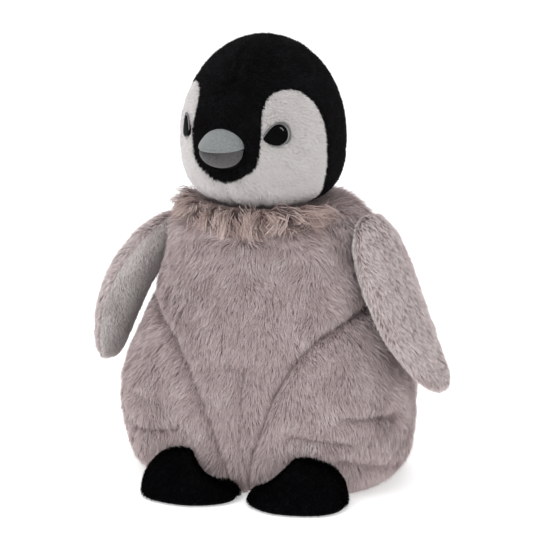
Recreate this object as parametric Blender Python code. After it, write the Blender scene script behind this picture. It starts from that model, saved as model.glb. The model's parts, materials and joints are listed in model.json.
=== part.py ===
"""A plush penguin chick, 300 mm tall, made of the pieces that it is sewn and stuffed from.

The penguin stands on its base at z = 0, faces -Y, and has its own left side at +X.
Every fabric panel is a patch of one of three smooth surfaces (body, head, flipper), thickened
inwards. Stuffing fills the same surfaces from inside, so that pieces nest without cutting.
"""

import math

import bmesh
import bpy
from mathutils import Matrix, Vector

MM = 0.001

# Fabric and fit
PILE_FABRIC = 4.0 * MM
SHORT_PILE_FABRIC = 2.5 * MM
SEAM_GAP = 1.4 * MM
STUFFING_GAP = 3.5 * MM
TOUCH_GAP = 0.3 * MM

# Body: height, half width, front depth and back depth of each cross-section
BODY_RINGS = tuple(
    tuple(value * MM for value in ring)
    for ring in (
        (4, 82, 66, 76),
        (18, 91, 73, 83),
        (40, 93, 75, 85),
        (65, 93, 77, 87),
        (82, 90, 77, 85),
        (100, 84, 76, 81),
        (122, 76, 73, 76),
        (150, 68, 66, 68),
        (170, 61, 62, 55),
        (183, 50, 58, 42),
    )
)
BODY_SQUARENESS = 2.25
THIGH_ANGLE = math.radians(52)
THIGH_SPREAD = math.radians(34)
THIGH_HEIGHT = 56 * MM
THIGH_REACH = 40 * MM
THIGH_BULGE = 9 * MM
PANEL_ROWS = tuple(z * MM for z in (4, 18, 34, 52, 72, 90, 100, 108, 114, 120, 126, 140, 156, 171, 183))

# Where the seams run round the body: height, and angle from the middle of the front
BELLY_SEAM = tuple(
    (z * MM, math.radians(angle))
    for z, angle in ((4, 4), (18, 6), (34, 9), (52, 13), (72, 18), (90, 25), (108, 37), (120, 56), (126, 77))
)
HIP_SEAM = tuple(
    (z * MM, math.radians(angle))
    for z, angle in ((4, 118), (34, 122), (72, 121), (100, 113), (114, 102), (126, 79.5))
)
SIDE_SEAM = math.radians(78)

BASE_THICKNESS = 3.5 * MM
PELLET_BAG_TOP = 30 * MM
STUFFING_TOP = 170 * MM

# Head, turned a little to its own right at rest
HEAD_CENTRE = Vector((0, -18 * MM, 235 * MM))
HEAD_RADII = Vector((53 * MM, 54 * MM, 65 * MM))
HEAD_DROP = 45 * MM
HEAD_DROP_SQUARENESS = 3.2
HEAD_TURN = math.radians(-12)
HEAD_ROWS = tuple(
    math.radians(a) for a in (-84, -66, -50, -38, -27, -18, -8, 2, 10, 17, 22, 26, 30, 44, 58, 73, 87)
)
CHEEK_INNER = tuple(
    (math.radians(row), math.radians(angle))
    for row, angle in ((-38, 0), (-27, 6), (-18, 16), (-8, 20), (10, 19.5), (17, 20.5), (22, 23), (26, 27), (30, 37))
)
CHEEK_OUTER = tuple(
    (math.radians(row), math.radians(angle))
    for row, angle in ((-84, 80), (-18, 80), (2, 79), (10, 76), (17, 70), (22, 64), (26, 57), (30, 40))
)

BEAK_WIDTH = 30 * MM
BEAK_HEIGHT = 23 * MM
BEAK_REACH = 19 * MM
BEAK_ANGLE = math.radians(2)
EYE_WIDTH = 16 * MM
EYE_HEIGHT = 11.5 * MM
EYE_THICKNESS = 1.6 * MM
EYE_AZIMUTH = math.radians(40)
EYE_ELEVATION = math.radians(8)

NECK_ROLL_RADIUS = 33 * MM
NECK_ROLL_BOTTOM = 172 * MM
NECK_ROLL_TOP = 188 * MM
NECK_ROLL_CROWN = 3 * MM
RUFF_RADIUS = 43 * MM
RUFF_WIDTH = 11 * MM
RUFF_HALF_HEIGHT = 4.2 * MM
RUFF_CENTRE_Z = 188.3 * MM
RUFF_REACH = math.radians(75)

# Flippers: hinge point, length, and half width and half thickness along the length
SHOULDER = {"left": Vector((71 * MM, -14 * MM, 177 * MM)), "right": Vector((67 * MM, -14 * MM, 171 * MM))}
FLIPPER_LENGTH = {"left": 113 * MM, "right": 104 * MM}
FLIPPER_PROFILE = (
    (0.00, 16 * MM, 5.0 * MM),
    (0.12, 25 * MM, 8.5 * MM),
    (0.35, 29 * MM, 9.5 * MM),
    (0.60, 27 * MM, 8.5 * MM),
    (0.82, 20 * MM, 6.5 * MM),
    (1.00, 9 * MM, 4.0 * MM),
)
FLIPPER_BOW = {"left": 1.5 * MM, "right": 7 * MM}
FLIPPER_LEAN = {"left": math.radians(17), "right": math.radians(28)}
FLIPPER_FLICK = {"left": 18 * MM, "right": -5 * MM}
FLIPPER_TOE_IN = {"left": math.radians(11), "right": math.radians(4)}
FLIPPER_CORE = 0.7

# Feet
FOOT_HALF_WIDTH = 33 * MM
FOOT_LENGTH = 28 * MM
FOOT_HEIGHT = 33 * MM
FOOT_PLACE = Vector((36.5 * MM, -75 * MM, 0))
FOOT_SHIFT = 5 * MM
FOOT_SPLAY = math.radians(8)
FOOT_TAPER = 0.6
FOOT_SQUARENESS = 0.8
FOOT_STUFFING_GAP = 5 * MM
SOLE_THICKNESS = 2.5 * MM

# Tail and sewn-in label at the back
TAIL_HEIGHT = 34 * MM
TAIL_LENGTH = 24 * MM
TAIL_DROOP = 10 * MM
TAIL_HALF_WIDTH = 20 * MM
TAIL_HALF_THICKNESS = 7 * MM
TAIL_GAP = 1.5 * MM
LABEL_SIZE = Vector((1.2 * MM, 24 * MM, 18 * MM))
LABEL_ANGLE = math.radians(-122)
LABEL_HEIGHT = 26 * MM

COLOURS = {
    "taupe_fur": (0.45, 0.36, 0.35),
    "ruff_fur": (0.34, 0.26, 0.24),
    "black_plush": (0.012, 0.011, 0.013),
    "white_plush": (0.83, 0.82, 0.81),
    "grey_felt": (0.24, 0.25, 0.25),
    "thread": (0.02, 0.02, 0.02),
    "lining": (0.62, 0.57, 0.56),
    "stuffing": (0.9, 0.9, 0.9),
    "pellet_cloth": (0.7, 0.68, 0.62),
    "label_tape": (0.92, 0.92, 0.9),
}


def along(table, position):
    """The second value of a table of pairs at a position, on a smooth curve through its points."""
    if position <= table[0][0]:
        return table[0][1]
    if position >= table[-1][0]:
        return table[-1][1]
    index = max(i for i, row in enumerate(table[:-1]) if row[0] <= position)
    low, high = table[index], table[index + 1]
    width = high[0] - low[0]
    share = (position - low[0]) / width

    def slope(before, here, after):
        if before is None or after is None:
            return (high[1] - low[1]) / width
        left = (here[1] - before[1]) / (here[0] - before[0])
        right = (after[1] - here[1]) / (after[0] - here[0])
        return 0 if left * right <= 0 else 2 * left * right / (left + right)

    first = slope(table[index - 1] if index else None, low, high)
    last = slope(low, high, table[index + 2] if index + 2 < len(table) else None)
    square, cube = share**2, share**3
    return (
        (2 * cube - 3 * square + 1) * low[1]
        + (cube - 2 * square + share) * width * first
        + (3 * square - 2 * cube) * high[1]
        + (cube - square) * width * last
    )


def column(table, number):
    """Two columns of a table: the first, and the one asked for."""
    return tuple((row[0], row[number]) for row in table)


def material(name):
    """A Principled material in one of the penguin's colours."""
    made = bpy.data.materials.get(name)
    if made is None:
        made = bpy.data.materials.new(name)
        made.use_nodes = True
        shader = made.node_tree.nodes["Principled BSDF"]
        shader.inputs["Base Color"].default_value = (*COLOURS[name], 1)
        shader.inputs["Roughness"].default_value = 0.9
        shader.inputs["Metallic"].default_value = 0.0
    return made


def solid(name, mesh_builder, finish, parent=None):
    """One named object from a bmesh, with its normals out and its material on."""
    bmesh.ops.recalc_face_normals(mesh_builder, faces=mesh_builder.faces)
    mesh = bpy.data.meshes.new(name)
    mesh_builder.to_mesh(mesh)
    mesh_builder.free()
    mesh.shade_smooth()
    mesh.set_sharp_from_angle(angle=math.radians(50))
    mesh.materials.append(material(finish))
    made = bpy.data.objects.new(name, mesh)
    bpy.context.scene.collection.objects.link(made)
    made.parent = parent
    return made


def pivot(name, place, turn=Matrix.Identity(3)):
    """An empty on a joint's axis, for the pieces that move about it."""
    made = bpy.data.objects.new(name, None)
    made.matrix_world = Matrix.Translation(place) @ turn.to_4x4()
    bpy.context.scene.collection.objects.link(made)
    return made


def skin_between(grid_out, grid_in):
    """A closed bmesh whose two faces are grids of points with the same rows and columns."""
    made = bmesh.new()
    layers = [[[made.verts.new(p) for p in row] for row in grid] for grid in (grid_out, grid_in)]
    rows, columns = len(grid_out), len(grid_out[0])
    for r in range(rows - 1):
        for c in range(columns - 1):
            for layer in layers:
                corners = (layer[r][c], layer[r][c + 1], layer[r + 1][c + 1], layer[r + 1][c])
                made.faces.new(corners[:3])
                made.faces.new((corners[0], corners[2], corners[3]))
    border = [(0, c) for c in range(columns)]
    border += [(r, columns - 1) for r in range(1, rows)]
    border += [(rows - 1, c) for c in range(columns - 2, -1, -1)]
    border += [(r, 0) for r in range(rows - 2, 0, -1)]
    for (r0, c0), (r1, c1) in zip(border, border[1:] + border[:1]):
        out, inner = layers
        made.faces.new((out[r0][c0], out[r1][c1], inner[r1][c1]))
        made.faces.new((out[r0][c0], inner[r1][c1], inner[r0][c0]))
    return made


def turned(rings):
    """A closed bmesh lofted through rings of points, with a flat cap on each end."""
    made = bmesh.new()
    loops = [[made.verts.new(p) for p in ring] for ring in rings]
    count = len(rings[0])
    for low, high in zip(loops, loops[1:]):
        for i in range(count):
            j = (i + 1) % count
            made.faces.new((low[i], low[j], high[j], high[i]))
    made.faces.new(loops[0])
    made.faces.new(loops[-1])
    bmesh.ops.triangulate(made, faces=made.faces)
    return made


def body_point(angle, z, inset):
    """A point of the body's surface: angle from the middle of the front, height, and depth inside."""
    half = along(column(BODY_RINGS, 1), z)
    front = along(column(BODY_RINGS, 2), z)
    back = along(column(BODY_RINGS, 3), z)
    deep = front if math.cos(angle) > 0 else back
    side = (abs(math.sin(angle)) / half) ** BODY_SQUARENESS
    ahead = (abs(math.cos(angle)) / deep) ** BODY_SQUARENESS
    reach = (side + ahead) ** (-1 / BODY_SQUARENESS)
    away = (abs(angle) - THIGH_ANGLE) / THIGH_SPREAD
    rise = (z - THIGH_HEIGHT) / THIGH_REACH
    reach += THIGH_BULGE * math.exp(-(away**2) - rise**2) - inset
    return Vector((reach * math.sin(angle), -reach * math.cos(angle), z))


def head_point(angle, row, inset):
    """A point of the head's surface, about its own centre: angle from the beak, latitude and depth inside."""
    if row > 0:
        flat, high = math.cos(row), (HEAD_RADII.z - inset) * math.sin(row)
    else:
        power = 2 / HEAD_DROP_SQUARENESS
        flat, high = math.cos(row) ** power, -(HEAD_DROP - inset) * (-math.sin(row)) ** power
    wide, deep = HEAD_RADII.x - inset, HEAD_RADII.y - inset
    return Vector((wide * flat * math.sin(angle), -deep * flat * math.cos(angle), high))


def patch(surface, rows, first, last, columns, depth, radius):
    """A thickened patch of a surface, between two seams given as functions of the row."""
    trim = SEAM_GAP / 2 / radius
    grids = []
    for inset in (0, depth):
        grid = []
        for row in rows:
            start = first(row) + trim
            end = last(row) - trim
            steps = [start + (end - start) * i / columns for i in range(columns + 1)]
            grid.append([surface(angle, row, inset) for angle in steps])
        grids.append(grid)
    return skin_between(*grids)


def both_sides(name, build, finish, parent=None):
    """A piece on the penguin's left side and its mirror image on the right."""
    for side, sign in (("left", 1), ("right", -1)):
        made = build()
        if sign < 0:
            bmesh.ops.scale(made, vec=(-1, 1, 1), verts=made.verts)
        solid(f"{name}_{side}", made, finish, parent)


def belly_edge(z):
    """Angle of the seam at the side of the belly panel."""
    return along(BELLY_SEAM, z) if z <= BELLY_SEAM[-1][0] else SIDE_SEAM


def back_edge(z):
    """Angle of the seam at the side of the back panel."""
    return along(HIP_SEAM, z) if z <= HIP_SEAM[-1][0] else SIDE_SEAM


def body_core(low, high, inset, count=28):
    """The inside of the body between two heights, as a closed solid."""
    levels = [low] + [z for z in PANEL_ROWS if low < z < high] + [high]
    rings = []
    for z in levels:
        angles = [2 * math.pi * i / count - math.pi for i in range(count)]
        rings.append([body_point(angle, z, inset) for angle in angles])
    return turned(rings)


def make_body():
    """The torso: panels, base, stuffing, pellet bag, tail and label."""
    width = BODY_RINGS[3][1]
    thigh_rows = [z for z in PANEL_ROWS if z <= BELLY_SEAM[-1][0]]
    both_sides(
        "belly_panel",
        lambda: patch(body_point, PANEL_ROWS, lambda z: 0, belly_edge, 8, PILE_FABRIC, width),
        "taupe_fur",
    )
    both_sides(
        "thigh_panel",
        lambda: patch(
            body_point,
            thigh_rows,
            lambda z: along(BELLY_SEAM, z),
            lambda z: along(HIP_SEAM, z),
            7,
            PILE_FABRIC,
            width,
        ),
        "taupe_fur",
    )
    both_sides(
        "back_panel",
        lambda: patch(body_point, PANEL_ROWS, back_edge, lambda z: math.pi, 7, PILE_FABRIC, width),
        "taupe_fur",
    )
    inside = PILE_FABRIC + STUFFING_GAP
    floor = BASE_THICKNESS + TOUCH_GAP
    solid("pellet_bag", body_core(floor, PELLET_BAG_TOP, inside), "pellet_cloth")
    bag_gap = 2 * TOUCH_GAP
    solid("torso_stuffing", body_core(PELLET_BAG_TOP + bag_gap, STUFFING_TOP, inside), "stuffing")
    make_base()
    make_tail()
    make_label()


def make_base():
    """The panel under the body, flat where the penguin stands."""
    bottom = BODY_RINGS[0][0]
    rings = []
    for share, inset in ((0, 13 * MM), (0.45, 5 * MM), (1, 1 * MM)):
        ring = [body_point(2 * math.pi * i / 28 - math.pi, bottom, inset) for i in range(28)]
        for point in ring:
            point.z = BASE_THICKNESS * share
        rings.append(ring)
    solid("base_panel", turned(rings), "taupe_fur")


def make_ruff(along_steps=20, around=8):
    """The long-pile collar under the face: an arc with an oval section, sewn into the neck seam."""
    rings = []
    for i in range(along_steps + 1):
        turn = HEAD_TURN + RUFF_REACH * (2 * i / along_steps - 1)
        ring = []
        for j in range(around):
            roll = 2 * math.pi * j / around
            reach = RUFF_RADIUS + RUFF_WIDTH / 2 * math.cos(roll)
            z = RUFF_CENTRE_Z + RUFF_HALF_HEIGHT * math.sin(roll)
            ring.append(Vector((reach * math.sin(turn), HEAD_CENTRE.y - reach * math.cos(turn), z)))
        rings.append(ring)
    solid("neck_ruff", turned(rings), "ruff_fur")


def make_tail():
    """The short tail, low on the back."""
    rings = []
    for share in (0.0, 0.35, 0.7, 1.0):
        taper = math.sqrt(1 - 0.8 * share**2)
        ring = []
        for i in range(14):
            angle = 2 * math.pi * i / 14
            across = TAIL_HALF_WIDTH * taper * math.cos(angle)
            high = TAIL_HALF_THICKNESS * taper * math.sin(angle) - TAIL_DROOP * share
            ring.append(Vector((across, TAIL_LENGTH * share, high)))
        rings.append(ring)
    tail = solid("tail", turned(rings), "taupe_fur")
    tail.location = (0, body_point(math.pi, TAIL_HEIGHT, 0).y + TAIL_GAP, TAIL_HEIGHT)


def make_label():
    """The blank tape label, sewn into the seam at the side of the back."""
    made = bmesh.new()
    bmesh.ops.create_cube(made, size=1)
    bmesh.ops.scale(made, vec=LABEL_SIZE, verts=made.verts)
    bmesh.ops.triangulate(made, faces=made.faces)
    label = solid("care_label", made, "label_tape")
    outwards = LABEL_SIZE.y / 2 + TAIL_GAP
    label.location = body_point(LABEL_ANGLE, LABEL_HEIGHT, -outwards)
    label.rotation_euler = (0, 0, LABEL_ANGLE - math.pi)


def make_head():
    """The head on its own pivot: stuffing, black and white panels, beak and eyes."""
    head = pivot("head_pivot", HEAD_CENTRE, Matrix.Rotation(HEAD_TURN, 3, "Z"))
    radius = HEAD_RADII.x
    cheek_rows = [row for row in HEAD_ROWS if row <= CHEEK_INNER[-1][0]]
    brow_rows = [row for row in HEAD_ROWS if row >= CHEEK_INNER[0][0]]
    split = CHEEK_OUTER[-1][1]

    def inner(row):
        return along(CHEEK_INNER, row) if row < CHEEK_INNER[-1][0] else split

    def outer(row):
        return along(CHEEK_OUTER, row) if row < CHEEK_OUTER[-1][0] else split

    both_sides(
        "forehead_panel",
        lambda: patch(head_point, brow_rows, lambda row: 0, lambda row: inner(row) + 0.03, 5,
                      SHORT_PILE_FABRIC, radius),
        "black_plush",
        head,
    )
    both_sides(
        "cheek_panel",
        lambda: patch(head_point, cheek_rows, lambda row: inner(row) + 0.03, outer, 6,
                      SHORT_PILE_FABRIC, radius),
        "white_plush",
        head,
    )
    both_sides(
        "crown_panel",
        lambda: patch(head_point, HEAD_ROWS, lambda row: outer(row) + 0.06, lambda row: math.pi, 7,
                      SHORT_PILE_FABRIC, radius),
        "black_plush",
        head,
    )
    inside = SHORT_PILE_FABRIC + STUFFING_GAP
    rings = []
    for row in [math.radians(a) for a in range(-80, 81, 20)]:
        rings.append([head_point(2 * math.pi * i / 20, row, inside) for i in range(20)])
    solid("head_stuffing", turned(rings), "stuffing", head)
    make_beak(head)
    make_eyes(head)


def on_head(angle, row, height):
    """A point at a height above the head's surface."""
    return head_point(angle, row, -height)


def make_beak(head):
    """Two felt halves that meet along the mouth line."""
    radius = HEAD_RADII.x
    for name, low, high in (("beak_upper", 0.0, 1.0), ("beak_lower", -1.0, 0.0)):
        trim = SEAM_GAP / BEAK_HEIGHT
        start, end = low + trim, high - trim
        outside, inside = [], []
        for i in range(6):
            level = start + (end - start) * i / 5
            row = BEAK_ANGLE + level * BEAK_HEIGHT / 2 / radius
            reach = math.sqrt(max(1 - level**2, 0.02))
            across = [-1 + 2 * j / 8 for j in range(9)]
            angles = [reach * a * BEAK_WIDTH / 2 / radius for a in across]
            bulge = [math.sqrt(max(1 - (reach * a) ** 2 - level**2, 0)) for a in across]
            outside.append([on_head(a, row, 1.2 * MM + BEAK_REACH * b) for a, b in zip(angles, bulge)])
            inside.append([on_head(a, row, 0.5 * MM) for a in angles])
        solid(name, skin_between(outside, inside), "grey_felt", head)


def make_eyes(head):
    """Raised embroidery on each cheek, an oval drawn to a point towards the beak."""
    radius = HEAD_RADII.x

    def build():
        outside, inside = [], []
        for i in range(7):
            across = -0.96 + 1.92 * i / 6
            taper = 1 - 0.25 * max(-across, 0)
            half = taper * math.sqrt(1 - across**2) * EYE_HEIGHT / 2 / radius
            angle = EYE_AZIMUTH + across * EYE_WIDTH / 2 / radius
            rows = [EYE_ELEVATION + half * (-1 + 2 * j / 4) for j in range(5)]
            domes = [math.sqrt(max(1 - (-1 + 2 * j / 4) ** 2, 0)) for j in range(5)]
            outside.append([on_head(angle, r, EYE_THICKNESS * (0.55 + 0.45 * d)) for r, d in zip(rows, domes)])
            inside.append([on_head(angle, r, 0.4 * MM) for r in rows])
        return skin_between(outside, inside)

    both_sides("eye", build, "thread", head)


def make_neck():
    """The stuffed roll that the head turns on, crowned so that the head can nod."""
    count = 20
    shoulder = NECK_ROLL_TOP - NECK_ROLL_CROWN
    profile = [(0.9, NECK_ROLL_BOTTOM), (1.0, NECK_ROLL_BOTTOM + 2 * MM), (1.0, shoulder - 1 * MM)]
    profile += [(share, NECK_ROLL_TOP - NECK_ROLL_CROWN * share**2) for share in (0.95, 0.6, 0.2)]
    rings = []
    for share, z in profile:
        reach = share * NECK_ROLL_RADIUS
        turn = [2 * math.pi * i / count for i in range(count)]
        rings.append([Vector((reach * math.cos(a), HEAD_CENTRE.y + reach * math.sin(a), z)) for a in turn])
    solid("neck_roll", turned(rings), "stuffing")


def flipper_point(share, across, face, inset, side):
    """A point of a flipper about its shoulder: share of its length, share of its width, and face."""
    half_width = along(column(FLIPPER_PROFILE, 1), share)
    half_thick = along(column(FLIPPER_PROFILE, 2), share)
    lens = math.sqrt(max(1 - across**2, 0))
    depth = max(half_thick * lens - inset, 0.25 * MM) * face
    curve = FLIPPER_BOW[side] * math.sin(math.pi * share) + FLIPPER_FLICK[side] * share**3
    return Vector((depth + curve, across * half_width, -FLIPPER_LENGTH[side] * share))


def make_flipper(side, sign):
    """One flipper on its shoulder pivot: fur outside, short plush inside, stuffing between."""
    shoulder = SHOULDER[side]
    place = Vector((sign * shoulder.x, shoulder.y, shoulder.z))
    lean = Matrix.Rotation(-sign * FLIPPER_LEAN[side], 3, "Y")
    hinge = pivot(f"flipper_{side}_pivot", place, lean @ Matrix.Rotation(-sign * FLIPPER_TOE_IN[side], 3, "Z"))
    shares = (0.0, 0.12, 0.3, 0.5, 0.68, 0.84, 1.0)
    edges = [-1 + 2 * i / 8 for i in range(9)]
    outer_core = PILE_FABRIC + TOUCH_GAP
    inner_core = SHORT_PILE_FABRIC + TOUCH_GAP
    layers = (
        ("outer", shares, 1.0, (1, 0), (1, PILE_FABRIC), "taupe_fur"),
        ("inner", shares, 1.0, (-1, 0), (-1, SHORT_PILE_FABRIC), "lining"),
        ("stuffing", shares[1:-1], FLIPPER_CORE, (1, outer_core), (-1, inner_core), "stuffing"),
    )
    for label, levels, spread, first, second, finish in layers:
        sheets = []
        for face, inset in (first, second):
            rows = []
            for share in levels:
                rows.append([flipper_point(share, spread * e, face, inset, side) for e in edges])
            sheets.append(rows)
        made = skin_between(*sheets)
        if sign < 0:
            bmesh.ops.scale(made, vec=(-1, 1, 1), verts=made.verts)
        solid(f"flipper_{side}_{label}", made, finish, hinge)


def foot_point(angle, rise, inset):
    """A point of the foot's domed top about its ankle: angle from its outer side, and rise."""
    inward = max(-math.cos(angle), 0) ** 1.5
    wide = (FOOT_HALF_WIDTH - inset) * math.cos(rise)
    long = (FOOT_LENGTH * (1 - 0.25 * inward) - inset) * math.cos(rise)
    tall = (FOOT_HEIGHT - SOLE_THICKNESS - TOUCH_GAP) * (1 - FOOT_TAPER * inward) - inset
    base = SOLE_THICKNESS + TOUCH_GAP
    across = math.copysign(abs(math.cos(angle)) ** FOOT_SQUARENESS, math.cos(angle))
    ahead = abs(math.sin(angle)) ** FOOT_SQUARENESS
    return Vector((wide * across, -long * ahead, base + tall * math.sin(rise)))


def make_foot(side, sign):
    """One foot on its ankle pivot: black plush over a stuffed dome, with a flat sole."""
    splay = Matrix.Rotation(sign * FOOT_SPLAY, 3, "Z")
    place = Vector((sign * FOOT_PLACE.x + FOOT_SHIFT, FOOT_PLACE.y, FOOT_HEIGHT))
    ankle = pivot(f"foot_{side}_pivot", place, splay)
    drop = Matrix.Translation((0, 0, -FOOT_HEIGHT))
    angles = [math.pi * i / 12 for i in range(13)]
    rises = [math.radians(a) for a in (0, 20, 40, 60, 78)]
    outside = [[foot_point(a, r, 0) for a in angles] for r in rises]
    inside = [[foot_point(a, r, SHORT_PILE_FABRIC) for a in angles] for r in rises]
    sole_rings = []
    for z in (0, SOLE_THICKNESS):
        ring = [foot_point(a, 0, 0) for a in angles]
        for point in ring:
            point.z = z
        sole_rings.append(ring)
    fill = SHORT_PILE_FABRIC + FOOT_STUFFING_GAP
    rings = [[foot_point(a, r, fill) for a in angles] for r in rises[:-1]]
    pieces = (
        ("upper", skin_between(outside, inside), "black_plush"),
        ("sole", turned(sole_rings), "black_plush"),
        ("stuffing", turned(rings), "stuffing"),
    )
    for label, made, finish in pieces:
        if sign < 0:
            bmesh.ops.scale(made, vec=(-1, 1, 1), verts=made.verts)
        solid(f"foot_{side}_{label}", made, finish, ankle).matrix_local = drop


def main():
    """Clears the scene and builds the penguin."""
    for old in list(bpy.data.objects):
        bpy.data.objects.remove(old)
    make_body()
    make_neck()
    make_ruff()
    make_head()
    for side, sign in (("left", 1), ("right", -1)):
        make_flipper(side, sign)
        make_foot(side, sign)


main()
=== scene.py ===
"""A plush penguin chick: fur panels over stuffing, a long-pile ruff, a felt beak and embroidered eyes.

The penguin stands at z = 0, faces -Y and has its own left side at +X. Every panel is a sewn shell of
cloth with its own pile of single fibres. All lengths are in metres.
"""

import json
import logging
import math
from collections.abc import Callable
from dataclasses import dataclass, field
from enum import Enum

import bpy
import numpy as np
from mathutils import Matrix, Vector, kdtree


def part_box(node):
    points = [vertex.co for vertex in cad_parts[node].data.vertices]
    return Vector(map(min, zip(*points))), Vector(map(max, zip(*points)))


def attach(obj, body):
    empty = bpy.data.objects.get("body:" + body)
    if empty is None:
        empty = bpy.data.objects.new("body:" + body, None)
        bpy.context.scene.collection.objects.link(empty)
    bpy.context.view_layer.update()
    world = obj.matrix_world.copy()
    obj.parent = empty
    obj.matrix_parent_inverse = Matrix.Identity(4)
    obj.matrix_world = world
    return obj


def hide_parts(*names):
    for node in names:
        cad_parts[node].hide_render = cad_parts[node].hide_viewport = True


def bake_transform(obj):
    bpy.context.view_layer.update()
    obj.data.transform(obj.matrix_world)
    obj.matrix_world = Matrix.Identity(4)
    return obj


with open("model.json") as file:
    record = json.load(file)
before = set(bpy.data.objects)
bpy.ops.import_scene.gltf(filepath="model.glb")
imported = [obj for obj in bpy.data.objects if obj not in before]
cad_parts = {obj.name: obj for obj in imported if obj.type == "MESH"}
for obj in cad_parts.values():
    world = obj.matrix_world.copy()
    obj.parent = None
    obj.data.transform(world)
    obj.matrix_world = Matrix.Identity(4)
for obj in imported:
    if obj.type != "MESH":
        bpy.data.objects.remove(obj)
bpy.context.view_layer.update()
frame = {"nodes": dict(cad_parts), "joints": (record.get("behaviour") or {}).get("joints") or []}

MM = 0.001
FLOOR_GAP = 0.3 * MM
STUFFING_PRESSURE = 4.0
STUFFING_REACH = 3.5 * MM
PILE_UV = "OFBake"
LOG = logging.getLogger("penguin")

Colour = tuple[float, float, float]
Table = tuple[tuple[float, ...], ...]
Crease = tuple[Table, float, float]


class Side(Enum):
    """The penguin's own left and right."""

    LEFT = 1
    RIGHT = -1

    @property
    def word(self) -> str:
        """The side's name in a piece's name."""
        return self.name.lower()


class BodyPanel(Enum):
    """The fur panels that the body is sewn from, on each side."""

    BELLY = "belly_panel"
    THIGH = "thigh_panel"
    BACK = "back_panel"


class HeadPanel(Enum):
    """The plush panels that the head is sewn from, on each side."""

    FOREHEAD = "forehead_panel"
    CHEEK = "cheek_panel"
    CROWN = "crown_panel"


# ---------------------------------------------------------------- numbers and small geometry


def smooth_table(table: Table, x: np.ndarray) -> np.ndarray:
    """Reads a table of pairs on a smooth curve that never overshoots its points.

    Args:
        table: pairs of a position and a value, in rising order of position.
        x: positions to read at.

    Returns:
        The values at those positions.
    """
    xs, ys = np.array(table, float).T
    step = np.diff(xs)
    rise = np.diff(ys) / step
    slopes = np.empty_like(ys)
    both = rise[:-1] * rise[1:] > 0
    total = np.where(both, rise[:-1] + rise[1:], 1.0)
    slopes[1:-1] = np.where(both, 2 * rise[:-1] * rise[1:] / total, 0.0)
    slopes[0], slopes[-1] = rise[0], rise[-1]
    x = np.clip(x, xs[0], xs[-1])
    i = np.clip(np.searchsorted(xs, x, side="right") - 1, 0, len(step) - 1)
    s = (x - xs[i]) / step[i]
    return (
        (2 * s**3 - 3 * s**2 + 1) * ys[i]
        + (s**3 - 2 * s**2 + s) * step[i] * slopes[i]
        + (3 * s**2 - 2 * s**3) * ys[i + 1]
        + (s**3 - s**2) * step[i] * slopes[i + 1]
    )


def unit(v: np.ndarray) -> np.ndarray:
    """Rows of vectors, each made one long."""
    return v / np.maximum(np.linalg.norm(v, axis=-1, keepdims=True), 1e-12)


def ramp(x: np.ndarray, low: float, high: float) -> np.ndarray:
    """A smooth step from 0 at low to 1 at high."""
    t = np.clip((x - low) / (high - low), 0, 1)
    return t * t * (3 - 2 * t)


def turn_z(points: np.ndarray, angle: float) -> np.ndarray:
    """Points turned about the upright axis."""
    c, s = math.cos(angle), math.sin(angle)
    return points @ np.array([[c, s, 0], [-s, c, 0], [0, 0, 1]])


def line_distance(points: np.ndarray, line: np.ndarray) -> np.ndarray:
    """How far each point of a flat pattern is from a broken line.

    Args:
        points: N by 2 places on the pattern.
        line: M by 2 corners of the line.

    Returns:
        N distances.
    """
    best = np.full(len(points), np.inf)
    for a, b in zip(line[:-1], line[1:]):
        along = b - a
        share = np.clip(((points - a) @ along) / max(along @ along, 1e-18), 0, 1)
        best = np.minimum(best, np.linalg.norm(points - a - share[:, None] * along, axis=1))
    return best


class Ripple:
    """A smooth random field over space, from a few seeded waves."""

    def __init__(self, seed: int, wavelength: float, waves: int = 14) -> None:
        """Draws the waves.

        Args:
            seed: the draw's seed.
            wavelength: the typical distance from crest to crest.
            waves: how many waves are summed.
        """
        rng = np.random.default_rng(seed)
        heading = unit(rng.normal(size=(waves, 3)))
        self.pull = heading * (2 * math.pi / (wavelength * rng.uniform(0.7, 1.6, (waves, 1))))
        self.shift = rng.uniform(0, 2 * math.pi, waves)

    def __call__(self, points: np.ndarray) -> np.ndarray:
        """The field at each point, mostly from -1 to 1."""
        return np.sin(points @ self.pull.T + self.shift).sum(1) * math.sqrt(2 / len(self.shift)) / 1.6


def grid_faces(rows: int, columns: int, closed: bool) -> np.ndarray:
    """The four-sided faces of a grid of points, row by row.

    Args:
        rows: number of rows of points.
        columns: number of points in a row.
        closed: whether the last column joins the first.

    Returns:
        One row of four point numbers per face.
    """
    r = np.arange(rows - 1)[:, None]
    c = np.arange(columns if closed else columns - 1)[None, :]
    after = (c + 1) % columns
    corners = (r * columns + c, r * columns + after, (r + 1) * columns + after, (r + 1) * columns + c)
    return np.stack([np.broadcast_to(k, (rows - 1, c.shape[1])) for k in corners], -1).reshape(-1, 4)


# ---------------------------------------------------------------- finishes


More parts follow.
